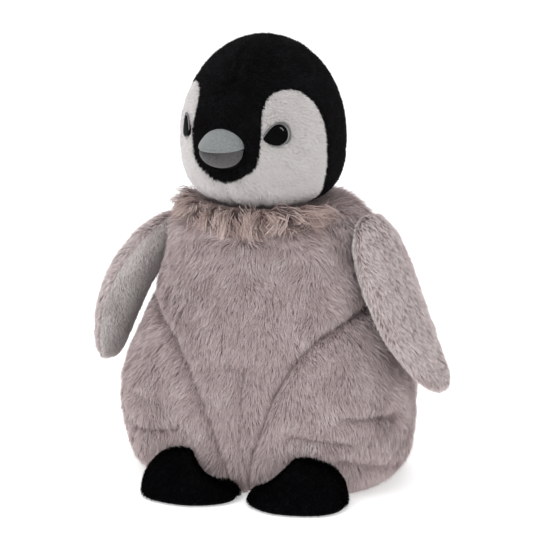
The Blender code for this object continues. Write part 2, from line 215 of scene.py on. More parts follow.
class NodeWriter:
    """Places and links nodes in one node tree."""

    def __init__(self, tree: bpy.types.NodeTree) -> None:
        """Keeps the tree that the nodes go into."""
        self.tree = tree

    def node(
        self, kind: str, inputs: dict[object, object] | None = None, **settings: object
    ) -> bpy.types.Node:
        """Makes a node.

        Args:
            kind: the node's type name, without the ShaderNode in front.
            inputs: values or output sockets for its inputs, by name or number.
            settings: properties of the node itself.

        Returns:
            The new node.
        """
        made = self.tree.nodes.new(kind if kind.startswith("NodeGroup") else f"ShaderNode{kind}")
        for key, value in settings.items():
            setattr(made, key, value)
        for key, value in (inputs or {}).items():
            if isinstance(value, bpy.types.NodeSocket):
                self.tree.links.new(value, made.inputs[key])
            else:
                made.inputs[key].default_value = value
        return made

    def math(self, operation: str, first: object, second: object = 0.0) -> bpy.types.NodeSocket:
        """A Math node's output."""
        return self.node("Math", {0: first, 1: second}, operation=operation).outputs[0]

    def blend(self, share: object, first: object, second: object) -> bpy.types.NodeSocket:
        """The output of a colour Mix node."""
        made = self.node("Mix", {0: share, 6: first, 7: second}, data_type="RGBA")
        return made.outputs[2]


@dataclass(frozen=True)
class Shade:
    """A node group that finishes share: its inputs, its outputs and what writes its nodes.

    An input without a first value is a colour.
    """

    name: str
    inputs: dict[str, float | None]
    outputs: tuple[str, ...]
    write: Callable[[NodeWriter, bpy.types.NodeOutputs], dict[str, bpy.types.NodeSocket]]

    def group(self) -> bpy.types.NodeTree:
        """The node group, made once."""
        found = bpy.data.node_groups.get(self.name)
        if found:
            return found
        group = bpy.data.node_groups.new(self.name, "ShaderNodeTree")
        for key, value in self.inputs.items():
            kind = "NodeSocketColor" if value is None else "NodeSocketFloat"
            made = group.interface.new_socket(name=key, in_out="INPUT", socket_type=kind)
            if value is not None:
                made.default_value = value
        for key in self.outputs:
            kind = "NodeSocketColor" if key == "Color" else "NodeSocketFloat"
            group.interface.new_socket(name=key, in_out="OUTPUT", socket_type=kind)
        w = NodeWriter(group)
        w.node("NodeGroupOutput", self.write(w, w.node("NodeGroupInput").outputs))
        return group


def write_pile_shade(w: NodeWriter, given: bpy.types.NodeOutputs) -> dict[str, bpy.types.NodeSocket]:
    """The colour along one fibre: dark at the root, paler at the tip, with the fibre's tone, which carries
    painted light and shade as well as random variation.
    """
    place = w.node("UVMap", uv_map=PILE_UV)
    parts = w.node("SeparateXYZ", {0: place.outputs[0]})
    height = w.node("MapRange", {0: parts.outputs[1], 1: 0.0, 2: 0.85}, interpolation_type="SMOOTHSTEP")
    low = w.node("MapRange", {0: parts.outputs[0], 1: 0.0, 2: 0.5})
    high = w.node("MapRange", {0: parts.outputs[0], 1: 0.5, 2: 1.0})
    tip = w.blend(low.outputs[0], w.blend(0.45, given["Tip"], given["Root"]), given["Tip"])
    tip = w.blend(high.outputs[0], tip, given["Pale"])
    return {"Color": w.blend(height.outputs[0], given["Root"], tip)}


def write_cloth_grain(w: NodeWriter, given: bpy.types.NodeOutputs) -> dict[str, bpy.types.NodeSocket]:
    """The uneven fibres of a felt, backing cloth or wadding: a mottled colour and a height for bump."""
    place = w.node("TexCoord").outputs["Object"]
    stretch = w.node("CombineXYZ", {0: 1.0, 1: 1.0, 2: given["Stretch"]})
    place = w.node("VectorMath", {0: place, 1: stretch.outputs[0]}, operation="MULTIPLY").outputs[0]
    fine = w.node("TexNoise", {"Vector": place, "Scale": given["Scale"], "Detail": 4.0, "Roughness": 0.65})
    wide_scale = w.math("MULTIPLY", given["Scale"], 0.12)
    wide = w.node("TexNoise", {"Vector": place, "Scale": wide_scale, "Detail": 2.0})
    sharp = w.node("MapRange", {0: fine.outputs[0], 1: 0.34, 2: 0.66})
    mix = w.math("ADD", w.math("MULTIPLY", sharp.outputs[0], 0.7), w.math("MULTIPLY", wide.outputs[0], 0.3))
    return {"Color": w.blend(mix, given["Dark"], given["Light"]), "Height": mix}


def write_stitch_rows(w: NodeWriter, given: bpy.types.NodeOutputs) -> dict[str, bpy.types.NodeSocket]:
    """Rows of satin stitch: a tone for each thread and a rounded height across it."""
    place = w.node("SeparateXYZ", {0: w.node("TexCoord").outputs["Object"]})
    slant = w.math("ADD", place.outputs[2], w.math("MULTIPLY", place.outputs[0], 0.5))
    turns = w.math("DIVIDE", slant, given["Pitch"])
    wave = w.math("ABSOLUTE", w.math("SINE", w.math("MULTIPLY", turns, math.pi)))
    thread = w.node("TexWhiteNoise", {"W": w.math("FLOOR", turns)}, noise_dimensions="1D")
    mix = w.math("ADD", w.math("MULTIPLY", wave, 0.6), w.math("MULTIPLY", thread.outputs[0], 0.4))
    return {"Color": w.blend(mix, given["Dark"], given["Light"]), "Height": wave}


PILE_SHADE = Shade("Pile Shade", {"Root": None, "Tip": None, "Pale": None}, ("Color",), write_pile_shade)
CLOTH_GRAIN = Shade(
    "Cloth Grain", {"Dark": None, "Light": None, "Scale": 900.0, "Stretch": 1.0}, ("Color", "Height"),
    write_cloth_grain,
)
STITCH_ROWS = Shade(
    "Stitch Rows", {"Dark": None, "Light": None, "Pitch": 0.45 * MM}, ("Color", "Height"), write_stitch_rows,
)


def rgba(colour: Colour) -> tuple[float, float, float, float]:
    """A colour with full alpha."""
    return (*colour, 1.0)


def shaded_material(
    name: str, shade: Shade, values: dict[str, object], surface: dict[str, object], bump: float = 0.0,
    depth: float = 0.0,
) -> bpy.types.Material:
    """A material that takes its colour, and its bump if it has one, from a shared node group.

    Args:
        name: the material's name.
        shade: the shared node group.
        values: what goes into the group's inputs.
        surface: constants of the shader, by the names of its sockets.
        bump: the bump's strength, or zero for none.
        depth: how deep the bump is.

    Returns:
        The material, made once.
    """
    found = bpy.data.materials.get(name)
    if found:
        return found
    made = bpy.data.materials.new(name)
    made.use_nodes = True
    w = NodeWriter(made.node_tree)
    grain = w.node("Group", values, node_tree=shade.group())
    shader = made.node_tree.nodes["Principled BSDF"]
    made.node_tree.links.new(grain.outputs["Color"], shader.inputs["Base Color"])
    for key, value in surface.items():
        shader.inputs[key].default_value = value
    if bump:
        raised = w.node("Bump", {"Strength": bump, "Distance": depth, "Height": grain.outputs["Height"]})
        made.node_tree.links.new(raised.outputs[0], shader.inputs["Normal"])
    return made


@dataclass(frozen=True)
class PileFinish:
    """The fibres of a fur or plush: colours at the root, at the tip and on the palest fibres."""

    name: str
    root: Colour
    tip: Colour
    pale: Colour
    roughness: float = 0.75
    specular: float = 0.15
    sheen: float = 0.25
    sheen_tint: Colour = (1.0, 0.97, 0.95)

    def material(self) -> bpy.types.Material:
        """The finish as a material, made once."""
        colours = {"Root": rgba(self.root), "Tip": rgba(self.tip), "Pale": rgba(self.pale)}
        surface = {
            "Roughness": self.roughness, "Specular IOR Level": self.specular, "Sheen Weight": self.sheen,
            "Sheen Roughness": 0.45, "Sheen Tint": rgba(self.sheen_tint),
        }
        return shaded_material(f"{self.name}_finish", PILE_SHADE, colours, surface)


@dataclass(frozen=True)
class ClothFinish:
    """A cloth, felt or wadding with uneven fibres."""

    name: str
    dark: Colour
    light: Colour
    scale: float = 900.0
    stretch: float = 1.0
    bump: float = 0.35
    depth: float = 0.25 * MM
    roughness: float = 0.9
    specular: float = 0.2
    sheen: float = 0.15
    rows: bool = False
    pitch: float = 0.45 * MM

    def material(self) -> bpy.types.Material:
        """The finish as a material, made once."""
        values = {"Dark": rgba(self.dark), "Light": rgba(self.light)}
        values |= {"Pitch": self.pitch} if self.rows else {"Scale": self.scale, "Stretch": self.stretch}
        surface = {
            "Roughness": self.roughness, "Specular IOR Level": self.specular, "Sheen Weight": self.sheen,
        }
        shade = STITCH_ROWS if self.rows else CLOTH_GRAIN
        return shaded_material(f"{self.name}_finish", shade, values, surface, self.bump, self.depth)


TAUPE_PILE = PileFinish("taupe_pile", (0.37, 0.272, 0.275), (0.625, 0.52, 0.52), (0.78, 0.705, 0.70))
RUFF_PILE = PileFinish("ruff_pile", (0.20, 0.13, 0.12), (0.55, 0.42, 0.39), (0.80, 0.68, 0.64), sheen=0.2)
LINING_PILE = PileFinish("lining_pile", (0.62, 0.57, 0.56), (0.82, 0.775, 0.765), (0.88, 0.84, 0.83))
BLACK_PILE = PileFinish(
    "black_pile", (0.002, 0.002, 0.002), (0.006, 0.005, 0.006), (0.022, 0.021, 0.024), sheen=0.0,
    specular=0.06,
)
FOOT_PILE = PileFinish(
    "foot_pile", (0.0008, 0.0006, 0.001), (0.0022, 0.0016, 0.0024), (0.010, 0.009, 0.011), sheen=0.0,
    specular=0.03,
)
WHITE_PILE = PileFinish(
    "white_pile", (0.64, 0.61, 0.605), (0.745, 0.715, 0.71), (0.80, 0.78, 0.775), sheen=0.1,
)
TAUPE_CLOTH = ClothFinish("taupe_backing", (0.20, 0.145, 0.14), (0.30, 0.22, 0.215), bump=0.0)
RUFF_CLOTH = ClothFinish("ruff_backing", (0.13, 0.09, 0.08), (0.20, 0.14, 0.13), bump=0.0)
LINING_CLOTH = ClothFinish("lining_backing", (0.40, 0.34, 0.33), (0.50, 0.44, 0.43), bump=0.0)
BLACK_CLOTH = ClothFinish("black_backing", (0.003, 0.003, 0.003), (0.008, 0.008, 0.009), bump=0.0, sheen=0.0)
WHITE_CLOTH = ClothFinish("white_backing", (0.60, 0.57, 0.56), (0.72, 0.70, 0.69), bump=0.0)
FELT = ClothFinish("grey_felt", (0.13, 0.142, 0.142), (0.25, 0.268, 0.265), bump=0.6, sheen=0.25)
# Painted shade: the beak's grey felt, darkened for the lower half, which lies in shade under the upper half.
FELT_PAINTED_SHADE = ClothFinish("grey_felt_under", (0.04, 0.038, 0.04), (0.105, 0.10, 0.103), bump=0.6)
BLACK_THREAD = ClothFinish(
    "black_thread", (0.0008, 0.0008, 0.0008), (0.0035, 0.0032, 0.0032), roughness=0.6, specular=0.02,
    rows=True, sheen=0.0, bump=0.15,
)
GREY_THREAD = ClothFinish("grey_thread", (0.07, 0.065, 0.07), (0.20, 0.195, 0.20), roughness=0.6, rows=True)
WADDING = ClothFinish("polyester_wadding", (0.72, 0.71, 0.69), (0.90, 0.90, 0.89), scale=300.0, stretch=0.5)
PELLET_CLOTH = ClothFinish("pellet_bag_cloth", (0.52, 0.50, 0.45), (0.74, 0.72, 0.66), scale=1400.0)
TAPE = ClothFinish(
    "label_tape", (0.78, 0.78, 0.76), (0.93, 0.93, 0.91), scale=1800.0, stretch=0.3, roughness=0.6,
)


# ---------------------------------------------------------------- skins


@dataclass
class Skin:
    """A sewn surface before it is cut into panels: its points, faces and what each point carries."""

    points: np.ndarray
    faces: np.ndarray
    u: np.ndarray
    v: np.ndarray
    flow: np.ndarray
    held: np.ndarray
    length: np.ndarray = field(default_factory=lambda: np.ones(0))
    # Painted light and shade that the fibres grown here take on: darker along seams and creases, paler on the
    # flippers.
    tone: np.ndarray = field(default_factory=lambda: np.zeros(0))
    density: np.ndarray = field(default_factory=lambda: np.ones(0))

    def __post_init__(self) -> None:
        """Fills in what wasn't given."""
        count = len(self.points)
        if not len(self.length):
            self.length = np.ones(count)
        if not len(self.tone):
            self.tone = np.zeros(count)
        if not len(self.density):
            self.density = np.ones(count)

    def normals(self) -> np.ndarray:
        """The outward direction at each point."""
        a, b, c, d = (self.points[self.faces[:, k]] for k in range(4))
        across = np.cross(c - a, d - b)
        out = np.zeros_like(self.points)
        for k in range(4):
            np.add.at(out, self.faces[:, k], across)
        return unit(out)

    def dent(self, depth: np.ndarray) -> None:
        """Moves each point inwards by its own depth."""
        self.points = self.points - self.normals() * depth[:, None]

    def lay(self) -> np.ndarray:
        """The flow directions, laid flat on the surface."""
        n = self.normals()
        return unit(self.flow - n * (self.flow * n).sum(1, keepdims=True))


def inflate(skins: list[Skin], pressure: float, cap: float) -> None:
    """Puffs sewn skins out between their held seams, as stuffing does, with a cloth simulation.

    Args:
        skins: the skins to puff, changed in place.
        pressure: the cloth's inner pressure.
        cap: the furthest that a point may move.
    """
    scene = bpy.context.scene
    starts = np.cumsum([0] + [len(s.points) for s in skins])
    points = np.concatenate([s.points for s in skins])
    faces = np.concatenate([s.faces + first for s, first in zip(skins, starts)])
    mesh = bpy.data.meshes.new("stuffed")
    mesh.from_pydata(points.tolist(), [], faces.tolist())
    cloth_object = bpy.data.objects.new("stuffed", mesh)
    scene.collection.objects.link(cloth_object)
    held = cloth_object.vertex_groups.new(name="held")
    weights = np.concatenate([s.held for s in skins])
    for level in np.unique(np.round(weights, 1)):
        if level > 0:
            held.add(np.flatnonzero(np.round(weights, 1) == level).tolist(), float(level), "REPLACE")
    cloth = cloth_object.modifiers.new("Cloth", "CLOTH")
    cloth.settings.quality = 5
    cloth.settings.mass = 0.25
    cloth.settings.tension_stiffness = 12
    cloth.settings.compression_stiffness = 12
    cloth.settings.bending_stiffness = 0.6
    cloth.settings.use_pressure = True
    cloth.settings.uniform_pressure_force = pressure
    cloth.settings.vertex_group_mass = "held"
    cloth.settings.effector_weights.gravity = 0
    cloth.collision_settings.use_collision = False
    cloth.point_cache.frame_start, cloth.point_cache.frame_end = 1, 20
    for step in range(1, 21):
        scene.frame_set(step)
    solved = cloth_object.evaluated_get(bpy.context.evaluated_depsgraph_get()).to_mesh()
    moved = np.empty(len(points) * 3, np.float32)
    solved.vertices.foreach_get("co", moved)
    shift = moved.reshape(-1, 3) - points
    far = np.linalg.norm(shift, axis=1, keepdims=True)
    shift *= np.minimum(1, cap / np.maximum(far, 1e-9))
    bpy.data.objects.remove(cloth_object)
    bpy.data.meshes.remove(mesh)
    scene.frame_set(1)
    for skin, first in zip(skins, starts):
        skin.points = skin.points + shift[first : first + len(skin.points)]
    LOG.info("stuffing moved the cloth by up to %.1f mm", float(np.linalg.norm(shift, axis=1).max()) / MM)


def make_object(name: str, mesh: bpy.types.Mesh, finish: PileFinish | ClothFinish) -> bpy.types.Object:
    """Puts a mesh in the scene under a name, with its finish."""
    mesh.materials.append(finish.material())
    made = bpy.data.objects.new(name, mesh)
    bpy.context.scene.collection.objects.link(made)
    return made


def roll(
    name: str, points: np.ndarray, faces: np.ndarray, around: int, finish: ClothFinish
) -> bpy.types.Object:
    """A closed roll: rings of points, with a flat cap on the first and the last ring.

    Args:
        name: the piece's name.
        points: the rings' points, ring after ring.
        faces: the faces between the rings, wound so that they look out.
        around: how many points a ring has.
        finish: the material.

    Returns:
        The new object.
    """
    caps = [list(range(around)), list(range(len(points) - around, len(points)))[::-1]]
    forward = any(a == 0 and b == 1 for a, b in zip(faces[0], np.roll(faces[0], -1)))
    caps = [ring[::-1] for ring in caps] if forward else caps
    mesh = bpy.data.meshes.new(name)
    mesh.from_pydata(points.tolist(), [], [*faces.tolist(), *caps])
    mesh.shade_smooth()
    return make_object(name, mesh, finish)


def shell(
    name: str, outer: np.ndarray, inner: np.ndarray, faces: np.ndarray, finish: ClothFinish
) -> bpy.types.Object:
    """A closed solid between two sheets of points that share their faces.

    Args:
        name: the piece's name.
        outer: points of the outer face.
        inner: points of the inner face, in the same order.
        faces: rows of point numbers, wound so that the outer face looks out.
        finish: the material.

    Returns:
        The new object.
    """
    used = np.unique(faces)
    order = np.full(len(outer), -1)
    order[used] = np.arange(len(used))
    faces = order[faces]
    count = len(used)
    points = np.concatenate([outer[used], inner[used]])
    ahead = np.stack([faces, np.roll(faces, -1, axis=1)], -1).reshape(-1, 2)
    key = ahead[:, 0] * count + ahead[:, 1]
    back = ahead[:, 1] * count + ahead[:, 0]
    rim = ahead[~np.isin(key, back)]
    walls = np.stack([rim[:, 1], rim[:, 0], rim[:, 0] + count, rim[:, 1] + count], -1)
    every = np.concatenate([faces, faces[:, ::-1] + count, walls])
    mesh = bpy.data.meshes.new(name)
    mesh.from_pydata(points.tolist(), [], every.tolist())
    mesh.shade_smooth()
    mesh.set_sharp_from_angle(angle=math.radians(60))
    return make_object(name, mesh, finish)


def panel_shell(
    name: str, skin: Skin, chosen: np.ndarray, thickness: float, finish: ClothFinish
) -> bpy.types.Object:
    """One sewn panel of a skin as a closed shell of cloth.

    Args:
        name: the piece's name.
        skin: the whole skin.
        chosen: which of its faces belong to the panel.
        thickness: how thick the cloth is.
        finish: the material.

    Returns:
        The new object.
    """
    inner = skin.points - skin.normals() * thickness
    return shell(name, skin.points, inner, skin.faces[chosen], finish)


# ---------------------------------------------------------------- pile


@dataclass(frozen=True)
class Pile:
    """How a pile grows: fibres per square millimetre, their size, and how they stand, lie and clump."""

    per_mm2: float
    length: float
    width: float
    root_lift: float
    tip_lift: float
    scatter: float
    swirl: float
    swirl_size: float
    clump: float
    clump_gap: float
    uneven: float = 0.2
    roll: float = 45.0
    tone_spread: float = 0.16
    patch: float = 0.14


@dataclass
class Fibres:
    """Grown fibres: three points each, a side direction, a width, a tone with painted light and shade in it,
    and their place on the skin.
    """

    curves: np.ndarray
    side: np.ndarray
    width: np.ndarray
    tone: np.ndarray
    u: np.ndarray
    v: np.ndarray

    def chosen(self, mask: np.ndarray) -> "Fibres":
        """Only the fibres where the mask is True."""
        return Fibres(*(getattr(self, k)[mask] for k in ("curves", "side", "width", "tone", "u", "v")))


LEVELS = np.array([0.0, 0.52, 1.0])
WIDTHS = (1.0, 0.85)


def grow(skin: Skin, pile: Pile, seed: int) -> Fibres:
    """Grows a pile on a skin.

    Args:
        skin: the surface, with its flow, lengths, painted light and shade, and densities.
        pile: how the pile grows.
        seed: the draw's seed.

    Returns:
        The fibres.
    """
    rng = np.random.default_rng(seed)
    tri = np.concatenate([skin.faces[:, [0, 1, 2]], skin.faces[:, [0, 2, 3]]])
    a, b, c = (skin.points[tri[:, k]] for k in range(3))
    area = np.linalg.norm(np.cross(b - a, c - a), axis=1) / 2
    total = np.cumsum(area)
    count = int(total[-1] / MM**2 * pile.per_mm2)
    spot = (np.arange(count) + rng.random(count)) / count * total[-1]
    index = np.minimum(np.searchsorted(total, spot), len(tri) - 1)
    r1, r2 = np.sqrt(rng.random(count)), rng.random(count)
    share = np.stack([1 - r1, r1 * (1 - r2), r1 * r2], -1)
    corners = tri[index]

    def carry(values: np.ndarray) -> np.ndarray:
        """A value of the skin's points, read at each fibre's root."""
        taken = values[corners]
        return (taken * (share[..., None] if taken.ndim == 3 else share)).sum(1)

    keep = rng.random(count) < carry(skin.density)
    corners, share = corners[keep], share[keep]
    count = len(corners)
    root, n = carry(skin.points), unit(carry(skin.normals()))
    flow = carry(skin.lay())
    flow = unit(flow - n * (flow * n).sum(1, keepdims=True))
    slow = Ripple(seed + 1, pile.swirl_size)(root) * pile.swirl
    turn = np.radians(slow + rng.normal(size=count) * pile.scatter)[:, None]
    lie = flow * np.cos(turn) + np.cross(n, flow) * np.sin(turn)
    long = pile.length * carry(skin.length) * (1 + pile.uneven * rng.normal(size=count).clip(-2, 2))
    lift = np.radians(
        np.array([[pile.root_lift, pile.tip_lift]])
        + rng.normal(size=(count, 1)) * 9 + 8 * Ripple(seed + 2, 9 * MM)(root)[:, None]
    )
    curves = np.empty((count, 3, 3))
    curves[:, 0] = root
    for k in range(2):
        step = (long * (LEVELS[k + 1] - LEVELS[k]))[:, None]
        curves[:, k + 1] = curves[:, k] + step * (
            n * np.sin(lift[:, k : k + 1]) + lie * np.cos(lift[:, k : k + 1])
        )
    if pile.clump > 0:
        leaders = rng.choice(count, max(1, int(total[-1] / pile.clump_gap**2)), replace=False)
        tree = kdtree.KDTree(len(leaders))
        for slot_number, leader in enumerate(leaders):
            tree.insert(root[leader], slot_number)
        tree.balance()
        nearest = leaders[[tree.find(p)[1] for p in root]]
        pull = pile.clump * rng.uniform(0.6, 1.0, count)
        for k in (1, 2):
            strength = (pull * LEVELS[k] ** 1.3)[:, None]
            curves[:, k] += strength * (curves[nearest, k] - curves[:, k])
    curves[..., 2] = np.maximum(curves[..., 2], FLOOR_GAP)
    heading = curves[:, 2] - curves[:, 0]
    side = unit(np.cross(heading, n))
    roll = np.radians(rng.uniform(-pile.roll, pile.roll, count))[:, None]
    side = side * np.cos(roll) + np.cross(unit(heading), side) * np.sin(roll)
    # Each fibre's tone: random spread and patches, plus the skin's painted light and shade.
    tone = 0.5 + carry(skin.tone) + pile.tone_spread * rng.normal(size=count)
    tone += pile.patch * (Ripple(seed + 3, 16 * MM)(root) + 0.7 * Ripple(seed + 4, 5 * MM)(root))
    width = pile.width * rng.uniform(0.75, 1.25, count)
    first = skin.u[corners]
    across = first[:, 0] + (np.angle(np.exp(1j * (first - first[:, :1]))) * share).sum(1)
    tone = tone.clip(0.02, 0.98)
    return Fibres(curves.astype(np.float32), side.astype(np.float32), width, tone, across, carry(skin.v))


def fibre_object(name: str, fibres: Fibres, finish: PileFinish) -> bpy.types.Object:
    """Fibres as one mesh of fine tapered blades.

    Args:
        name: the piece's name.
        fibres: the fibres.
        finish: the material.

    Returns:
        The new object.
    """
    count = len(fibres.curves)
    half = (fibres.side * fibres.width[:, None] / 2).astype(np.float32)
    points = np.empty((count, 5, 3), np.float32)
    for k, wide in enumerate(WIDTHS):
        points[:, 2 * k] = fibres.curves[:, k] - half * wide
        points[:, 2 * k + 1] = fibres.curves[:, k] + half * wide
    points[:, 4] = fibres.curves[:, 2]
    points[..., 2] = np.maximum(points[..., 2], FLOOR_GAP)
    corner = np.array([0, 1, 3, 2, 2, 3, 4], np.int32)
    loops = (np.arange(count, dtype=np.int32)[:, None] * 5 + corner).ravel()
    starts = (np.arange(count, dtype=np.int32)[:, None] * 7 + np.array([0, 4], np.int32)).ravel()
    mesh = bpy.data.meshes.new(name)
    mesh.vertices.add(count * 5)
    mesh.vertices.foreach_set("co", points.ravel())
    mesh.loops.add(len(loops))
    mesh.loops.foreach_set("vertex_index", loops)
    mesh.polygons.add(len(starts))
    mesh.polygons.foreach_set("loop_start", starts)
    mesh.polygons.foreach_set("use_smooth", np.ones(len(starts), bool))
    mesh.update(calc_edges=True)
    uv = np.empty((count, 5, 2), np.float32)
    uv[..., 0] = fibres.tone[:, None]
    uv[:, [0, 2], 0] -= 0.012
    uv[:, [1, 3], 0] += 0.012
    uv[..., 1] = np.array([0.01, 0.01, 0.52, 0.52, 0.99])
    layer = mesh.uv_layers.new(name=PILE_UV)
    layer.data.foreach_set("uv", uv[:, corner].ravel())
    return make_object(name, mesh, finish)


LONG_PILE = Pile(
    per_mm2=3.0, length=7.0 * MM, width=0.34 * MM, root_lift=46, tip_lift=20, scatter=13, swirl=26,
    swirl_size=26 * MM, clump=0.3, clump_gap=2.2 * MM,
)
SHORT_PILE = Pile(
    per_mm2=5.0, length=2.6 * MM, width=0.33 * MM, root_lift=50, tip_lift=25, scatter=14, swirl=16,
    swirl_size=24 * MM, clump=0.12, clump_gap=1.6 * MM, patch=0.08,
)
FLIPPER_PILE = Pile(
    per_mm2=3.0, length=5.6 * MM, width=0.38 * MM, root_lift=42, tip_lift=14, scatter=11, swirl=16,
    swirl_size=30 * MM, clump=0.25, clump_gap=2.6 * MM,
)
RUFF_TUFTS = Pile(
    per_mm2=2.4, length=15 * MM, width=0.5 * MM, root_lift=48, tip_lift=6, scatter=20, swirl=46,
    swirl_size=12 * MM, clump=0.8, clump_gap=3.6 * MM, uneven=0.28, patch=0.3,
)


# ---------------------------------------------------------------- body


@dataclass
class Torso:
    """The body: six fur panels, a flat base, the tail and a blank tape label."""

    rings: Table = (
        (4, 82, 66, 76), (18, 91, 73, 83), (40, 93, 75, 85), (65, 93, 77, 87), (82, 90, 77, 85),
        (100, 84, 76, 81), (122, 76, 73, 76), (150, 68, 66, 68), (170, 61, 62, 55), (183, 50, 58, 42),
    )
    squareness: float = 2.25
    thigh: tuple[float, float, float, float, float] = (52, 34, 56, 40, 9)
    shoulder: tuple[float, float, float] = (6, 50, 150)
    belly_seam: Table = (
        (4, 4), (18, 6), (34, 9), (52, 13), (72, 18), (90, 25), (108, 37), (120, 56), (126, 77),
    )
    hip_seam: Table = ((4, 118), (34, 122), (72, 121), (100, 113), (114, 102), (126, 79.5))
    side_seam: float = 78.0
    split_height: float = 126.0
    top: float = 183.0
    closing: Table = ((2.6, 0.06), (4.4, 0.15), (5.0, 0.28), (4.6, 0.42))
    girth: float = 88.0
    cloth: float = 1.6 * MM
    label_size: tuple[float, float] = (24 * MM, 18 * MM)
    creases: tuple[Crease, ...] = (
        (((0, 6), (1, 30), (3, 60), (4, 94)), 3.4, 2.3),
        (((-19, 87), (-8, 90), (2, 92), (10, 91)), 1.6, 4.0),
        (((46, 60), (57, 58.5), (72, 56)), 3.2, 3.0),
        (((26, 49), (38, 45.7), (51, 41.5)), 3.2, 2.8),
        (((46, 31), (61, 24), (82, 16)), 3.2, 3.4),
        (((-52, 40), (-39, 43), (-30, 46)), 3.0, 3.0),
        (((-62, 62), (-50, 64), (-36, 62)), 1.6, 3.6),
    )
    skin: Skin = field(init=False)

    def outline(self, z: np.ndarray, angle: np.ndarray) -> np.ndarray:
        """How far the body reaches from its middle.

        Args:
            z: heights.
            angle: angles from the middle of the front.

        Returns:
            The reach at each pair.
        """
        height = z / MM
        half, front, back = (
            smooth_table(tuple((row[0], row[k]) for row in self.rings), height) for k in (1, 2, 3)
        )
        deep = np.where(np.cos(angle) > 0, front, back)
        power = self.squareness
        across, ahead = np.abs(np.sin(angle)) / half, np.abs(np.cos(angle)) / deep
        reach = (across**power + ahead**power) ** (-1 / power)
        off = np.abs(np.degrees(angle))
        middle, spread, high, tall, bulge = self.thigh
        reach += bulge * np.exp(-(((off - middle) / spread) ** 2) - ((height - high) / tall) ** 2)
        slope, peak, rise = self.shoulder
        reach += slope * np.exp(-(((off - 90) / peak) ** 2)) * ramp(height, rise, self.top)
        return reach * MM

    def seam_angles(self, z: np.ndarray) -> tuple[np.ndarray, np.ndarray]:
        """Where the belly panel ends and the back panel starts at each height, in degrees."""
        height = z / MM
        low = height <= self.split_height
        belly = np.where(low, smooth_table(self.belly_seam, height), self.side_seam)
        back = np.where(low, smooth_table(self.hip_seam, height), self.side_seam)
        return belly, back

    def panel_of(self, panel: BodyPanel, side: Side, angle: np.ndarray, z: np.ndarray) -> np.ndarray:
        """Whether each place on the body belongs to a panel.

        Args:
            panel: the panel.
            side: its side.
            angle: angles from the middle of the front.
            z: heights.

        Returns:
            True where the place is on the panel.
        """
        belly, back = self.seam_angles(z)
        off = np.abs(np.degrees(angle))
        own = np.sign(angle + 1e-9) == side.value
        if panel is BodyPanel.BELLY:
            return own & (off <= belly)
        if panel is BodyPanel.BACK:
            return own & (off > back)
        return own & (off > belly) & (off <= back)

    def seam_lines(self) -> list[tuple[np.ndarray, float, float]]:
        """The seams and creases as flat lines with a depth and a half width, in millimetres."""
        scale = math.radians(1) * self.girth
        lines: list[tuple[np.ndarray, float, float]] = []
        low = np.linspace(4, self.split_height, 30)
        for sign in (1, -1):
            belly = np.stack([sign * smooth_table(self.belly_seam, low) * scale, low], 1)
            hip = np.stack([sign * smooth_table(self.hip_seam, low) * scale, low], 1)
            side = np.array([[sign * self.side_seam * scale, z] for z in (self.split_height, 184)])
            lines += [(belly, 4.2, 3.6), (hip, 2.2, 3.4), (side, 1.6, 3.2)]
            lines.append((np.array([[sign * 180 * scale, z] for z in (4, 184)]), 1.6, 3.2))
        for points, depth, wide in self.creases:
            lines.append((np.array([[a * scale, z] for a, z in points]), depth, wide))
        return lines

    def build(self, columns: int = 188, step: float = 3.0) -> None:
        """Makes the skin, closed in under the head and at the base.

        Args:
            columns: points round the body.
            step: height from row to row, in millimetres.
        """
        angle = (np.arange(columns) / columns * 2 - 1) * math.pi + math.pi / columns
        heights = np.arange(4, self.top + 0.1, step) * MM
        levels = [(z, z, 0.0, 0.0) for z in heights]
        levels = [(0.9 * MM, 4 * MM, 4.0 * MM, 0.0), (2.0 * MM, 4 * MM, 1.4 * MM, 0.0)] + levels
        levels += [((self.top + rise) * MM, self.top * MM, 0.0, pull) for rise, pull in self.closing]
        rows = []
        for z, source, inset, pull in levels:
            reach = self.outline(np.full(columns, source), angle) - 1.0 * MM - inset
            row = np.stack([reach * np.sin(angle), -reach * np.cos(angle), np.full(columns, z)], 1)
            row[:, 0] *= 1 - pull
            row[:, 1] += pull * (-18 * MM - row[:, 1])
            rows.append(row)
        points = np.concatenate(rows)
        u, v = np.tile(angle, len(levels)), np.repeat([level[1] for level in levels], columns)
        flow = np.tile([0.0, 0.0, -1.0], (len(points), 1))
        flow[v >= 172 * MM] = unit(points * [1, 1, 0])[v >= 172 * MM] + [0, 0, 0.25]
        self.pattern = np.stack([np.degrees(u) * math.radians(1) * self.girth, v / MM], 1)
        held = np.zeros(len(points))
        # near: how close each point lies to a seam or crease; it shortens the pile there and paints shade into
        # it.
        near = np.zeros(len(points))
        for line, depth, wide in self.seam_lines():
            gap = line_distance(self.pattern, line)
            near = np.maximum(near, np.exp(-((gap / wide) ** 2)) * min(depth / 4, 1))
            if depth > 1.9 or abs(line[0, 0]) > 100:
                held = np.maximum(held, ramp(-gap, -5.0, -1.5))
        held[(v < 8 * MM) | (v > 178 * MM)] = 1
        self.near = near
        self.skin = Skin(points, grid_faces(len(levels), columns, True), u, v, flow, held)

    def dress(self) -> None:
        """Presses the seams in, sets how the pile grows along them and paints shade into its fibres there."""
        depth = np.zeros(len(self.skin.points))
        for line, deep, wide in self.seam_lines():
            gap = line_distance(self.pattern, line)
            depth = np.maximum(depth, deep * np.exp(-((gap / wide) ** 2)))
        self.skin.dent(depth * MM)
        height = self.skin.v / MM
        self.skin.length = 1 - 0.42 * self.near
        self.skin.length *= 1 + 0.4 * ramp(height, 165, 178) - 0.35 * ramp(-height, -12, -3)
        # Painted shade: fibres along the seams and creases are darkened, as though shade lay in the dips.
        self.skin.tone = -0.42 * self.near

